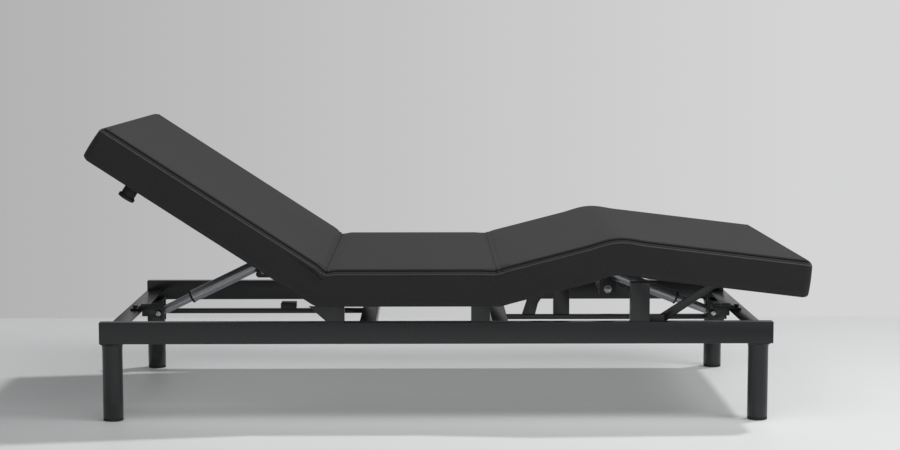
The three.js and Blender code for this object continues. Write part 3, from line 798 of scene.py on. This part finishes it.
def edge_profile():
    """The cover's edge as [inset from the outline, height above the hinge line] in millimetres:
    from the top pad out over its rolled edge, the groove, the side panel's shoulder, down the
    side panel, which bulges by a power of a sine, round the bottom, and up the inside to the
    board."""
    cover = bpy.context.scene.bed_cover
    top = cover.top_rise / MM
    corner = cover.corner / MM
    flat_top = [[corner, top], [17.0, top]]
    pad = rounded((12.0, top - 4.2), 4.2, 90, 205, 9)
    groove = [[10.2, top - 6.4], [10.6, top - 7.2]]
    shoulder = [[9.0, 45.2], [7.0, 45.8], [5.0, 45.2], [3.4, 43.4], [2.2, 40.8]]
    z = np.concatenate([np.arange(37, 15, -2.2), np.linspace(12, -41, 9)])
    bulge = 1.6 * np.sin(np.clip((38 - z) / 82, 0, 1) * math.pi) ** 0.8
    face = np.stack([1.6 - bulge, z], -1)
    bottom = rounded((7.0, -41.5), 6.0, 180, 270, 6)
    under = [[12.0, -47.5], [19.0, -47.3]]
    hem = rounded((22.0, -44.0), 3.5, 270, 360, 4)
    inside = [[25.6, -30.0], [25.6, -5.0], [25.6, 10.0], [25.2, 28.0]]
    return np.concatenate([flat_top, pad, groove, shoulder, face, bottom, under, hem, inside])


def stations(x, y, normal_x, normal_y, on_corner):
    """Stations of the platform's outline, as rows of place, outward normal in plan, and whether
    each is on a corner. A corner's station has the corner's centre as its place."""
    return np.stack(np.broadcast_arrays(x, y, normal_x, normal_y, float(on_corner)), -1)


def edge_stations(stretch):
    """The runs of stations round the cover's edge, near side, end, far side, and the Y of its
    lengthwise rows."""
    corner = bpy.context.scene.bed_cover.corner
    e = stretch.end
    xs = stretch.rows()
    ys = np.linspace(-(HALF_WIDTH - corner), HALF_WIDTH - corner, CROSS_STATIONS)
    if e <= 0:
        xs = xs[::-1]
    near = stations(xs, -HALF_WIDTH, 0.0, -1.0, False)
    far = stations(xs[::-1], HALF_WIDTH, 0.0, 1.0, False)
    if e == 0:
        return [near, far], ys
    a = np.linspace(0, math.pi / 2, CORNER_STEPS)[1:-1]
    centre_x = stretch.end_x - e * corner
    turn_near = stations(centre_x, -HALF_WIDTH + corner, e * np.sin(a), -np.cos(a), True)
    across = stations(stretch.end_x, ys, e, 0.0, False)
    turn_far = stations(centre_x, HALF_WIDTH - corner, e * np.cos(a), np.sin(a), True)
    return [np.concatenate([near, turn_near, across, turn_far, far])], ys


def end_rounding(height):
    """How far the platform's end wall draws in at a height, where its top and bottom edges are
    rounded: the gap between a quarter circle and its tangent."""
    cover = bpy.context.scene.bed_cover
    radius_top, radius_bottom = 24 * MM, 13 * MM
    underside = -47.5 * MM
    up = np.clip((height - (cover.top_rise - radius_top)) / radius_top, 0, 1)
    down = np.clip((underside + radius_bottom - height) / radius_bottom, 0, 1)
    return radius_top * (1 - np.sqrt(1 - up**2)) + radius_bottom * (1 - np.sqrt(1 - down**2))


def edge_points(stretch, run, inset, height):
    """Points at an inset and height for a run of stations: the place less the normal times the
    inset, or on a corner its centre plus the normal times what is left of its radius. The outer
    skin is drawn in by the end's rounding, which fades in round the corner, and nothing stands
    past the walls' own inset. Where the inset is past the corner's centre, the points slide in
    along both walls."""
    corner = bpy.context.scene.bed_cover.corner
    place_x, place_y, normal_x, normal_y, on_corner = run.T
    on_corner = on_corner > 0
    facing_end = np.clip(1.6 * np.abs(normal_x), 0, 1)
    inset = np.full(len(run), inset)
    inset = np.where(
        inset < SKIN_INSET, np.maximum(inset, facing_end * end_rounding(height)), inset
    )
    reach = np.where(on_corner, np.maximum(corner - inset, 0), -inset)
    x = place_x + normal_x * reach
    y = place_y + normal_y * reach
    if stretch.end:
        wall_x = stretch.end_x - stretch.end * inset
        x = np.minimum(x, wall_x) if stretch.end > 0 else np.maximum(x, wall_x)
        y = np.clip(y, -HALF_WIDTH + inset, HALF_WIDTH - inset)
    slide = np.where(on_corner, np.maximum(inset - corner, 0), 0)
    x = x - np.sign(normal_x) * slide
    y = y - np.sign(normal_y) * slide
    return np.stack([x, y, np.full(len(run), HINGE_Z + height)], -1)


def pinched(stretch, points, outward, upper):
    """Draws the cloth in where it folds at a hinge. outward is each point's normal in plan and
    upper how far up the edge it is, 0 on the side panel to 1 on the pad. A crease is a narrow
    hollow, and beside it the cloth rises in low pleats; all are bells along the deck."""
    if not stretch.pinch_mm:
        return points
    s = stretch.past_hinge(points)
    pleat = 0.55 * bell(s, 17, 4.2) + 0.2 * bell(s, -15, 6)
    swell = 0.25 * bell(s, 9, 6) + 0.18 * bell(s, 28, 8)
    pull = stretch.pinch_mm * (bell(s, 0, 4.6) + pleat - swell) * upper * MM
    on_edge = np.hypot(outward[:, 0], outward[:, 1]) > 0
    moved = points.copy()
    moved[:, :2] -= outward * (pull * 0.75)[:, None]
    moved[:, 2] -= pull * np.where(on_edge, 0.35, 0.8)
    return moved


def gathered(stretch, points, outward):
    """Where the side panel is squeezed at a hinge, its slack cloth stands in two ridges just under
    the shoulder, which run along the raised section and fade out. Each ridge is a bell across the
    panel's height that drops as it nears the hinge, and a lower fold slants away from it."""
    s = stretch.past_hinge(points)
    z = (points[:, 2] - HINGE_Z) / MM
    fade = smoothstep((150 - s) / 110) * smoothstep((s + 4) / 16)
    drop = 5 * smoothstep((60 - s) / 60)
    first = bell(z, 35 - drop, 3.0)
    second = 0.6 * bell(z, 24 - drop, 3.6) * smoothstep((90 - s) / 50)
    valley = 0.7 * bell(z, 29 - drop, 3.0)
    low_fold = 0.35 * bell(z, -10 - 0.35 * s, 9) * smoothstep((70 - s) / 60)
    push = stretch.gather_mm * fade * (first + second - valley + low_fold) * MM
    moved = points.copy()
    moved[:, :2] += outward * push[:, None]
    return moved


def crown(x, y):
    """How far the top pad stands above its edge: a low dome across, one less a power of the
    distance from the middle, and a slight quilt-like unevenness, a product of two sines."""
    across = 1 - (np.abs(y) / HALF_WIDTH) ** 2.5
    waves = np.sin(x * 21 + 1.3 * np.sin(y * 9)) * np.sin(y * 17 + 0.8 * np.sin(x * 13))
    return (2.2 * across + 0.35 * waves * across) * MM


def cover_edge(stretch, run, profile):
    """The profile carried along a run of stations: the points, and a UV pair for each, which is
    the top's outline moved out by the length of the profile up to there."""
    outward = run[:, 2:4]
    outline = edge_points(stretch, run, profile[0, 0], 0.0)[:, :2]
    travel = np.concatenate([[0], np.cumsum(np.hypot(*np.diff(profile, axis=0).T))])
    upper = smoothstep((profile[:, 1] / MM - 34) / 8)
    points, uvs = [], []
    for (inset, height), length, share in zip(profile, travel, upper):
        ring = pinched(stretch, edge_points(stretch, run, inset, height), outward, share)
        if 0 < inset < 12 * MM:
            ring = gathered(stretch, ring, outward)
        points.append(ring)
        uvs.append(outline + outward * length)
    return np.concatenate(points), np.concatenate(uvs)


def cover_top(stretch, ys, rise):
    """The top pad's grid of points at a rise above the hinge line: the crown, faded out towards
    its edges, and pinched at the hinge."""
    corner = bpy.context.scene.bed_cover.corner
    fade = 50 * MM
    gx, gy = np.meshgrid(np.sort(stretch.rows()), ys, indexing="ij")
    edge = np.minimum(HALF_WIDTH - corner - np.abs(gy), fade) / fade
    if stretch.end:
        inner_end = stretch.end_x - stretch.end * corner
        edge = edge * np.minimum(np.abs(gx - inner_end), fade) / fade
    top = np.stack([gx, gy, HINGE_Z + rise + crown(gx, gy) * smoothstep(edge)], -1)
    top = top.reshape(-1, 3)
    return pinched(stretch, top, np.zeros((len(top), 2)), np.ones(len(top)))


def make_stretch(stretch):
    """The cover over one hinge. The edge is the profile carried round the platform's outline, and
    the top a grid inside it, a low dome; both are drawn flat, pinched at the hinge, then bent."""
    profile = edge_profile() * MM
    runs, ys = edge_stations(stretch)
    points, uvs, faces = [], [], []
    count = 0
    for run in runs:
        edge, edge_uv = cover_edge(stretch, run, profile)
        points.append(edge)
        uvs.append(edge_uv)
        faces.append(grid_faces(len(profile), len(run), start=count))
        count += len(edge)
    top = cover_top(stretch, ys, profile[0, 1])
    points.append(top)
    uvs.append(top[:, :2])
    faces.append(grid_faces(len(top) // len(ys), len(ys), start=count))
    shaped = stretch.shaped(np.concatenate(points))
    name = f"{stretch.label}_cover"
    piece = mesh_piece(name, shaped, np.concatenate(faces), np.concatenate(uvs))
    cleaned(piece, merge=0.01 * MM)
    turn_up(piece)
    cloth = piece.modifiers.new("cloth_and_backing", "SOLIDIFY")
    cloth.thickness = 2.0 * MM
    cloth.offset = -1
    piece.data.materials.append(woven_upholstery())
    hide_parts(*stretch.replaces)
    stretch.blend(piece)
    return piece


def turn_up(piece):
    """Flips an open sheet whose top faces look down."""
    polygons = piece.data.polygons
    normals, areas = np.zeros(len(polygons) * 3), np.zeros(len(polygons))
    polygons.foreach_get("normal", normals)
    polygons.foreach_get("area", areas)
    if (normals.reshape(-1, 3)[:, 2] * areas).sum() < 0:
        piece.data.flip_normals()


def make_piping(stretch):
    """Piping along the side panel's shoulder: a round cord carried round the outline, each of its
    lines at the cord's inset less r cos a and its height plus r sin a."""
    radius = bpy.context.scene.bed_cover.piping
    runs, _ = edge_stations(stretch)
    angle = np.linspace(0, 2 * math.pi, PIPING_SIDES, endpoint=False)
    parts = []
    for number, run in enumerate(runs):
        lines = [
            edge_points(stretch, run, PIPING_INSET - radius * math.cos(a),
                        PIPING_HEIGHT + radius * math.sin(a))
            for a in angle
        ]
        shaped = stretch.shaped(np.stack(lines, 1).reshape(-1, 3))
        faces = capped_faces(len(run), PIPING_SIDES)
        parts.append(cleaned(mesh_piece(f"{stretch.label}_piping_{number}", shaped, faces)))
    piece = joined(f"{stretch.label}_piping", parts)
    piece.data.materials.append(bias_cut_piping())
    stretch.blend(piece)
    return piece


class MakeCover(bpy.types.Operator):
    """Makes the upholstered cover, one piece over each hinge, and its piping."""

    bl_idname = "bed.make_cover"
    bl_label = "Cover and piping"

    def execute(self, context):
        for stretch in STRETCHES:
            make_stretch(stretch)
            make_piping(stretch)
        return {"FINISHED"}


# ------------------------------------------------------------------ steel frame
STEEL_NODES = [
    name for name in frame["nodes"]
    if name.startswith(("side_rail", "cross_rail", "middle_member", "seat_post", "link_post",
                        "thigh_rest", "spine_bar", "clevis_head", "clevis_foot", "foot_link"))
]
DECK_FRAMES = ["head_frame", "seat_frame", "thigh_frame", "foot_frame"]
THIN_PLATE_SHARE = 0.45  # of the edge radius, on plates and flat bars
POST_WIDTH = 50 * MM


class MakeSteel(bpy.types.Operator):
    """Rounds the formed steel's edges, as bent sheet and drawn tube have them."""

    bl_idname = "bed.make_steel"
    bl_label = "Formed steel"

    def execute(self, context):
        edge = context.scene.bed_steel.edge
        for node in STEEL_NODES:
            if node.startswith(("side_rail", "middle_member", "seat_post", "link_post")):
                piece = softened(node, "formed", edge, 3)
            else:
                piece = softened(node, "formed", edge * THIN_PLATE_SHARE, 2)
            body = frame["nodes"][node]["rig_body"]
            finish_piece(piece, body, powder_coat())
        for node in DECK_FRAMES:
            frame["nodes"][node].data.materials.clear()
            frame["nodes"][node].data.materials.append(powder_coat())
        return {"FINISHED"}


def make_leg(end, side):
    """A leg: a round tube that flares a little into its plate, with a weld round its top, turned
    about the leg's middle; and the glide under it. The weld's radius swells by the size of a
    sine."""
    node = f"leg_{end}_{side}"
    low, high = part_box(node)
    x, y = (low.x + high.x) / 2, (low.y + high.y) / 2
    top = high.z / MM
    tube = turned(f"{node}_tube", (x, y, 0), (0, 0, 1), [
        [24.8, 8.4], [25.4, 8.0], [26.6, 8.0], [27.0, 8.5], [27.0, 60], [27.0, 120], [27.0, 170],
        [27.0, 192], [27.3, 199], [28.0, 204], [28.4, top - 5], [28.4, top - 4.2], [0, top - 4.2],
        [0, top - 7], [24.8, top - 7], [24.8, 8.4],
    ], 72)
    plate = plate_with_round_corners((x, y, high.z - 4 * MM), 28.6 * MM, 6 * MM, 4 * MM)
    angle = np.linspace(0, 2 * math.pi, 120, endpoint=False)
    ring = np.stack([np.cos(angle), np.sin(angle), 0 * angle], -1)
    path = np.array([x, y, high.z - 4.6 * MM]) + ring * 28.0 * MM
    swell = 1.4 * MM * (1 + 0.2 * np.abs(np.sin(angle * 28)))
    weld = round_bead(f"{node}_weld", path, swell, ring)
    piece = joined(f"{node}_turned", [tube, plate, weld])
    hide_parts(node)
    finish_piece(piece, "base_frame", powder_coat())
    glide_node = f"leg_glide_{end}_{side}"
    glide = turned(f"{glide_node}_moulded", (x, y, 0), (0, 0, 1), [
        [0, 0.6], [20, 0.6], [20.6, 0], [24.4, 0], [25.9, 0.5], [26.7, 1.6], [26.8, 7.0],
        [26.4, 7.7], [24.0, 7.7], [23.4, 9], [23.2, 27], [22.6, 28], [0, 28],
    ], 72)
    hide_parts(glide_node)
    finish_piece(glide, "base_frame", moulded_rubber())


def round_bead(name, path, radii, normals, sides=8):
    """A closed round bead: circles spanned by each point's normal and the upright."""
    cosine, sine = bead_ring(sides)
    ring = cosine * normals[:, None] + sine * np.array([0.0, 0.0, 1.0])
    points = (path[:, None] + radii[:, None, None] * ring).reshape(-1, 3)
    return cleaned(mesh_piece(name, points, grid_faces(len(path), sides, True, True)))


def plate_with_round_corners(centre, half, radius, thick):
    """A square plate: its outline is a circle spread out to the corners of a smaller square, so
    each corner is an arc, and its rim is rounded by rings that draw in above and below."""
    a = np.linspace(0, 2 * math.pi, 48, endpoint=False)
    inner = half - radius
    square = np.stack([np.sign(np.cos(a)), np.sign(np.sin(a))], -1)
    flat = np.stack([np.cos(a), np.sin(a)], -1)
    plan = square * inner + flat * radius
    rings = [(0.0, 0.0), (0.97, 0.0), (1.0, 0.25), (1.0, 0.75), (0.97, 1.0), (0.0, 1.0)]
    points = [
        np.concatenate([plan * share, np.full((len(a), 1), height * thick)], -1)
        for share, height in rings
    ]
    points = np.concatenate(points) + np.array(centre)
    return cleaned(mesh_piece("plate", points, grid_faces(len(rings), len(a), wrap_columns=True)))


class MakeLegs(bpy.types.Operator):
    """Makes the four legs and their glides."""

    bl_idname = "bed.make_legs"
    bl_label = "Legs"

    def execute(self, context):
        for end in ("head", "foot"):
            for side in ("near", "far"):
                make_leg(end, side)
        return {"FINISHED"}


class MakeWelds(bpy.types.Operator):
    """Makes the weld beads at the foot of each post and at the cross members' ends, and the
    plugs in the rails' open ends."""

    bl_idname = "bed.make_welds"
    bl_label = "Welds and end plugs"

    def execute(self, context):
        for side, sign in (("near", -1), ("far", 1)):
            rail_low, rail_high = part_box(f"side_rail_{side}")
            z = rail_high.z + 0.8 * MM
            beads = []
            for node in (f"seat_post_head_{side}", f"seat_post_foot_{side}", f"link_post_{side}"):
                low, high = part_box(node)
                left = low.x if node.startswith("link_post") else high.x - POST_WIDTH
                y = high.y if sign > 0 else low.y
                start, stop = left + 3 * MM, left + POST_WIDTH - 3 * MM
                beads.append(weld_bead((start, y, z), (stop, y, z), (0, sign, 0), 1.7 * MM))
            piece = joined(f"post_welds_{side}", beads)
            finish_piece(piece, "base_frame", powder_coat())
            for end, x, facing in (("head", rail_low.x, -1), ("foot", rail_high.x, 1)):
                plug = rail_plug(rail_low, rail_high, x, facing, f"rail_plug_{end}_{side}")
                finish_piece(plug, "base_frame", moulded_abs())
        for kind in ("cross_rail", "middle_member"):
            for end in ("head", "foot"):
                low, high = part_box(f"{kind}_{end}")
                start, stop, z = low.x + 5 * MM, high.x - 5 * MM, high.z + 0.6 * MM
                beads = [
                    weld_bead((start, y, z), (stop, y, z), (0, 1, 0), 1.8 * MM)
                    for y in (low.y, high.y)
                ]
                piece = joined(f"{kind}_{end}_welds", beads)
                finish_piece(piece, "base_frame", powder_coat())
        return {"FINISHED"}


def rail_plug(low, high, x, facing, name):
    """A plug in a rail's end: a rectangle with round corners whose face is slightly domed, as
    rings that shrink towards its middle, each a little further out."""
    wall, radius = 2.4 * MM, 3 * MM
    middle = [(low.y + high.y) / 2, (low.z + high.z) / 2]
    half_y, half_z = (high.y - low.y) / 2 - wall, (high.z - low.z) / 2 - wall
    a = np.linspace(0, 2 * math.pi, 40, endpoint=False)
    plan = np.stack([
        np.sign(np.cos(a)) * (half_y - radius) + np.cos(a) * radius,
        np.sign(np.sin(a)) * (half_z - radius) + np.sin(a) * radius,
    ], -1)
    rings = [
        (0, -8), (0.99, -8), (1.0, -7.5), (1.0, -0.8), (0.97, -0.2), (0.9, 0), (0.5, 0.1), (0, 0.1),
    ]
    points = [
        np.concatenate([np.full((len(a), 1), x + facing * out * MM), plan * share + middle], -1)
        for share, out in rings
    ]
    faces = grid_faces(len(rings), len(a), wrap_columns=True)
    return cleaned(mesh_piece(name, np.concatenate(points), faces))


# ------------------------------------------------------------------ actuators
COLLAR_MM = {"head": 105, "foot": 114}  # from the clevis pin to the tube's open end
UPPER_EYE_MM = {"head": 450, "foot": 470}  # from the clevis pin to the lift pin


def actuator_axis(label):
    """An actuator's clevis pin centre and the direction up its tube."""
    pin = hinge_point(f"{label}_rod_swing")
    direction = np.array(JOINTS[f"{label}_tube_slide"]["axis"], float)
    return pin, direction / np.linalg.norm(direction)


def eye(name, centre, radius_mm, half_mm, bore_mm):
    """A rod eye: a ring about the pin, its profile closed round the bore, with chamfered rims."""
    r, h, b = radius_mm, half_mm, bore_mm
    return turned(name, centre, (0, 1, 0), [
        [b, -h + 0.6], [b + 0.6, -h], [r - 1.4, -h], [r, -h + 1.4], [r, h - 1.4], [r - 1.4, h],
        [b + 0.6, h], [b, h - 0.6], [b, -h + 0.6],
    ], 48)


def make_actuator(label):
    """One actuator: rod and eye, outer tube with its lip, upper eye, and a rubber wiper ring where
    the rod enters; all turned about the actuator's own line or its pins."""
    pin, along = actuator_axis(label)
    collar, eye_at = COLLAR_MM[label], UPPER_EYE_MM[label]
    rod = turned(f"{label}_rod_bar", pin, along, [
        [0, 9], [8.5, 9], [9.5, 11], [10.4, 17], [12.2, 20], [12.5, 22], [12.5, 268],
        [11.6, 269.4], [0, 269.4],
    ], 56)
    lower = eye(f"{label}_rod_eye", pin, 14, 15, 6.5)
    rod_piece = joined(f"{label}_actuator_rod_turned", [rod, lower])
    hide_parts(f"{label}_actuator_rod")
    finish_piece(rod_piece, f"{label}_rod", satin_tube())
    tube = turned(f"{label}_tube_barrel", pin, along, [
        [13.4, collar + 1], [13.6, collar], [17.0, collar], [17.6, collar + 0.8], [17.6, collar + 5],
        [17.5, collar + 6], [17.5, 343], [16.9, 347], [15.4, 350], [10.4, 350.5], [10.0, 352],
        [10.0, eye_at - 9], [0, eye_at - 9], [0, 338], [13.4, 338], [13.4, collar + 1],
    ], 64)
    upper = eye(f"{label}_upper_eye", pin + along * eye_at * MM, 14, 15, 6.1)
    tube_piece = joined(f"{label}_actuator_tube_turned", [tube, upper])
    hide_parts(f"{label}_actuator_tube")
    finish_piece(tube_piece, f"{label}_tube", satin_tube())
    lift_pin = turned(f"{label}_lift_pin", pin + along * eye_at * MM, (0, 1, 0), [
        [0, -29], [5.2, -29], [6, -28.2], [6, 28.2], [5.2, 29], [0, 29],
    ], 32)
    finish_piece(lift_pin, f"{label}_tube", zinc_plate())
    wiper = turned(f"{label}_wiper_ring", pin, along, [
        [12.9, collar - 2.6], [14.6, collar - 3.2], [17.4, collar - 2.4], [18.9, collar - 1.2],
        [18.9, collar + 2.4], [18.2, collar + 3.2], [17.7, collar + 3.2], [17.7, collar - 0.2],
        [13.3, collar - 0.2], [12.9, collar - 2.6],
    ], 56)
    finish_piece(wiper, f"{label}_tube", moulded_rubber())


def pan_screw(name, centre, facing, radius_mm):
    """A pan head screw on a washer. The head's height is the root of one less the distance
    squared, and it sinks in a cross recess, where a point lies inside either of two bars."""
    a = np.linspace(0, 2 * math.pi, 96, endpoint=False)
    share = np.concatenate([np.linspace(0, 0.68, 18), [0.78, 0.88, 0.95, 1.0, 1.0]])
    dome = np.sqrt(np.clip(1 - share**2 * 0.97, 0, 1))
    dome[-1] = 0
    u = share[:, None] * np.cos(a) * radius_mm
    v = share[:, None] * np.sin(a) * radius_mm
    height = np.repeat(dome[:, None] * radius_mm * 0.42, len(a), 1)
    bar = np.minimum(np.abs(u), np.abs(v)) < radius_mm * 0.15
    recess = bar & (np.hypot(u, v) < radius_mm * 0.6)
    height = np.where(recess, height - radius_mm * 0.3, height) + 1.5
    points = np.stack([u, facing * height, v], -1).reshape(-1, 3) * MM + np.array(centre)
    head = cleaned(mesh_piece(name, points, grid_faces(len(share), len(a), wrap_columns=True)))
    w = radius_mm * 1.3
    washer = turned(
        f"{name}_washer", centre, (0, facing, 0),
        [[0, 0], [w, 0], [w, 1.1], [w - 0.5, 1.6], [0, 1.6]], 40,
    )
    return joined(name, [head, washer])


def motor_trim(label):
    """What is fixed to a motor housing: the screw and washer on its near face, and the motor
    can's end cap with its rim."""
    low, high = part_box(f"{label}_actuator_motor")
    x = (low.x + high.x) / 2
    body = f"{label}_tube"
    screw = pan_screw(f"{label}_housing_screw", (x, low.y, low.z + 21 * MM), -1, 8.6)
    finish_piece(screw, body, zinc_plate())
    z = low.z + 24 * MM
    cap = turned(f"{label}_motor_end_cap", (x, high.y, z), (0, 1, 0), [
        [0, 0.2], [24.8, 0.2], [25.4, -0.6], [25.4, -9], [24.9, -9.6], [24.1, -9.6], [24.1, 0.6],
        [23.4, 1.6], [16, 2.2], [15.4, 1.2], [9, 1.2], [8.4, 2.6], [0, 2.8],
    ][::-1], 64)
    finish_piece(cap, body, moulded_abs())


class MakeActuators(bpy.types.Operator):
    """Makes both actuators' rods, tubes, eyes, wiper rings and motor trim."""

    bl_idname = "bed.make_actuators"
    bl_label = "Actuators"

    def execute(self, context):
        for label in ("head", "foot"):
            make_actuator(label)
            housing = softened(f"{label}_actuator_motor", "housing", 1.6 * MM, 3)
            finish_piece(housing, f"{label}_tube", moulded_abs())
            motor_trim(label)
        return {"FINISHED"}


CLEVIS_BOLT_Y, CLEVIS_BOLT_Z = 13 * MM, 246.3 * MM
BUMPER_OUT, BUMPER_Y = 564 * MM, 431 * MM  # from the head hinge along the section, and across


class MakeFasteners(bpy.types.Operator):
    """Makes the clevis pins and bolts, the bumpers and the junction box's case."""

    bl_idname = "bed.make_fasteners"
    bl_label = "Fasteners and fittings"

    def execute(self, context):
        for label in ("head", "foot"):
            pin, _ = actuator_axis(label)
            clevis_pin = turned(f"clevis_pin_{label}_headed", pin, (0, 1, 0), [
                [0, -29.4], [4.5, -29.2], [7.2, -28.3], [8.0, -27.0], [8.0, -24.6], [7.6, -24.2],
                [6.1, -24.2], [6.0, -23], [6.0, 24.6], [5.2, 25.6], [0, 25.8],
            ], 40)
            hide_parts(f"clevis_pin_{label}")
            finish_piece(clevis_pin, "base_frame", zinc_plate())
            low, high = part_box(f"clevis_{label}")
            outer = low.x + 11 * MM if label == "head" else high.x - 11 * MM
            place = (outer, CLEVIS_BOLT_Y, CLEVIS_BOLT_Z)
            bolt = hex_bolt(f"clevis_bolt_{label}", place, (0, 0, 1), 10)
            finish_piece(bolt, "base_frame", zinc_plate())
        for side, sign in (("near", -1), ("far", 1)):
            make_bumper(side, sign)
        box = softened("junction_box", "case", 2 * MM, 3)
        finish_piece(box, "base_frame", moulded_abs())
        return {"FINISHED"}


def make_bumper(side, sign):
    """A rubber bumper under the head section: a stem and a broad lipped foot, turned about the
    line square to the section."""
    along = np.array([-math.sin(HEAD_UP), 0, -math.cos(HEAD_UP)])
    out = np.array([-math.cos(HEAD_UP), 0, math.sin(HEAD_UP)])
    root = HEAD_HINGE + out * BUMPER_OUT + np.array([0, sign * BUMPER_Y, 0])
    bumper = turned(f"head_bumper_{side}_moulded", root, along, [
        [0, -11.5], [19.0, -11.5], [19.0, 71], [19.3, 73.4], [20.2, 74.4], [22.2, 74.7],
        [23.0, 75.5], [23.0, 81.9], [22.2, 83.2], [20.6, 83.5], [12, 83.5], [11, 82.4], [0, 82.2],
    ], 64)
    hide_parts(f"head_bumper_{side}")
    finish_piece(bumper, "head_section", moulded_rubber())


class FinishNodes(bpy.types.Operator):
    """Gives the carried-over boards and hinge rods their materials."""

    bl_idname = "bed.finish_nodes"
    bl_label = "Boards and hinge rods"

    def execute(self, context):
        for name, node in frame["nodes"].items():
            if name.endswith("_board"):
                material = plywood()
            elif name.endswith("hinge_rod"):
                material = zinc_plate()
            else:
                continue
            node.data.materials.clear()
            node.data.materials.append(material)
        return {"FINISHED"}


# ------------------------------------------------------------------ stage
FLOOR_REACH = 14.0  # metres from the base's middle, to the front and to each side
CAMERA_PLACE = Vector((-0.0508, -5.4462, 1.0277))
CAMERA_PITCH, CAMERA_YAW = math.radians(5.679), math.radians(0.602)
CAMERA_LENS_MM, CAMERA_SENSOR_MM = 75.73, 36


def aimed(thing, place, target):
    """Places a light or camera and points it at a target."""
    thing.location = place
    direction = Vector(target) - Vector(place)
    thing.rotation_euler = direction.to_track_quat("-Z", "Y").to_euler()


def softbox(name, place, target, size, power):
    """A rectangular area light, its size in metres and its power in watts."""
    light = bpy.data.lights.new(name, "AREA")
    light.shape = "RECTANGLE"
    light.size, light.size_y = size
    light.energy = power
    lamp = bpy.data.objects.new(name, light)
    bpy.context.scene.collection.objects.link(lamp)
    aimed(lamp, place, target)
    return lamp


class MakeStage(bpy.types.Operator):
    """Makes the floor, the lights, the surroundings and the camera."""

    bl_idname = "bed.make_stage"
    bl_label = "Stage"

    def execute(self, context):
        settings = context.scene.bed_stage
        scene = context.scene
        scene.view_settings.view_transform = "Standard"
        reach, edge = FLOOR_REACH, settings.floor_edge
        corners = [(-reach, -reach, 0), (reach, -reach, 0), (reach, edge, 0), (-reach, edge, 0)]
        floor = mesh_piece("stage_floor", corners, [(0, 1, 2, 3)], smooth=False)
        floor.data.materials.append(floor_paint(settings.floor_hex))
        camera = bpy.data.cameras.new("camera")
        camera.sensor_width = CAMERA_SENSOR_MM
        camera.lens = CAMERA_LENS_MM
        camera.clip_end = 60
        eye_point = bpy.data.objects.new("camera", camera)
        scene.collection.objects.link(eye_point)
        level = math.cos(CAMERA_PITCH)
        look = Vector((
            math.sin(CAMERA_YAW) * level, math.cos(CAMERA_YAW) * level, -math.sin(CAMERA_PITCH),
        ))
        aimed(eye_point, CAMERA_PLACE, CAMERA_PLACE + look)
        scene.camera = eye_point
        scene.world = studio_world(settings)
        sun = bpy.data.lights.new("key_sun", "SUN")
        sun.energy = 1.2
        sun.angle = math.radians(4)
        lamp = bpy.data.objects.new("key_sun", sun)
        scene.collection.objects.link(lamp)
        aimed(lamp, (0.5, 0.35, 1.0), (0, 0, 0))
        softbox("floor_wash", (3.0, -1.2, 2.6), (1.8, edge, 1.0), (2.2, 1.2), 48)
        softbox("overhead_fill", (0.3, -1.6, 3.6), (0.1, -0.3, 0), (3.6, 2.4), 46)
        softbox("front_fill", (0.6, -5.2, 1.7), (0, -0.2, 0.1), (4.0, 1.2), 19)
        under = softbox("under_fill", (0.0, 0.0, 0.2), (0.0, 0.0, 0.0), (1.9, 1.0), 1.7)
        under.visible_camera = False
        under.visible_glossy = False
        return {"FINISHED"}


class BedPanel(bpy.types.Panel):
    """The bed base's pieces and settings."""

    bl_label = "Bed base"
    bl_idname = "VIEW3D_PT_bed_base"
    bl_space_type = "VIEW_3D"
    bl_region_type = "UI"
    bl_category = "Bed base"

    def draw(self, context):
        for group in (context.scene.bed_cover, context.scene.bed_steel, context.scene.bed_stage):
            for key in group.__annotations__:
                self.layout.prop(group, key)
        for operator in OPERATORS:
            self.layout.operator(operator.bl_idname)


OPERATORS = [
    MakeStage, MakeCover, MakeSteel, MakeLegs, MakeWelds, MakeActuators, MakeFasteners, FinishNodes,
]
CLASSES = [BedCoverSettings, BedSteelSettings, BedStageSettings, *OPERATORS, BedPanel]


def register():
    for cls in CLASSES:
        bpy.utils.register_class(cls)
    bpy.types.Scene.bed_cover = bpy.props.PointerProperty(type=BedCoverSettings)
    bpy.types.Scene.bed_steel = bpy.props.PointerProperty(type=BedSteelSettings)
    bpy.types.Scene.bed_stage = bpy.props.PointerProperty(type=BedStageSettings)


def unregister():
    del bpy.types.Scene.bed_stage
    del bpy.types.Scene.bed_steel
    del bpy.types.Scene.bed_cover
    for cls in reversed(CLASSES):
        bpy.utils.unregister_class(cls)


def main():
    register()
    bpy.ops.bed.make_stage()
    bpy.ops.bed.make_cover()
    bpy.ops.bed.make_steel()
    bpy.ops.bed.make_legs()
    bpy.ops.bed.make_welds()
    bpy.ops.bed.make_actuators()
    bpy.ops.bed.make_fasteners()
    bpy.ops.bed.finish_nodes()


if __name__ == "__main__":
    main()
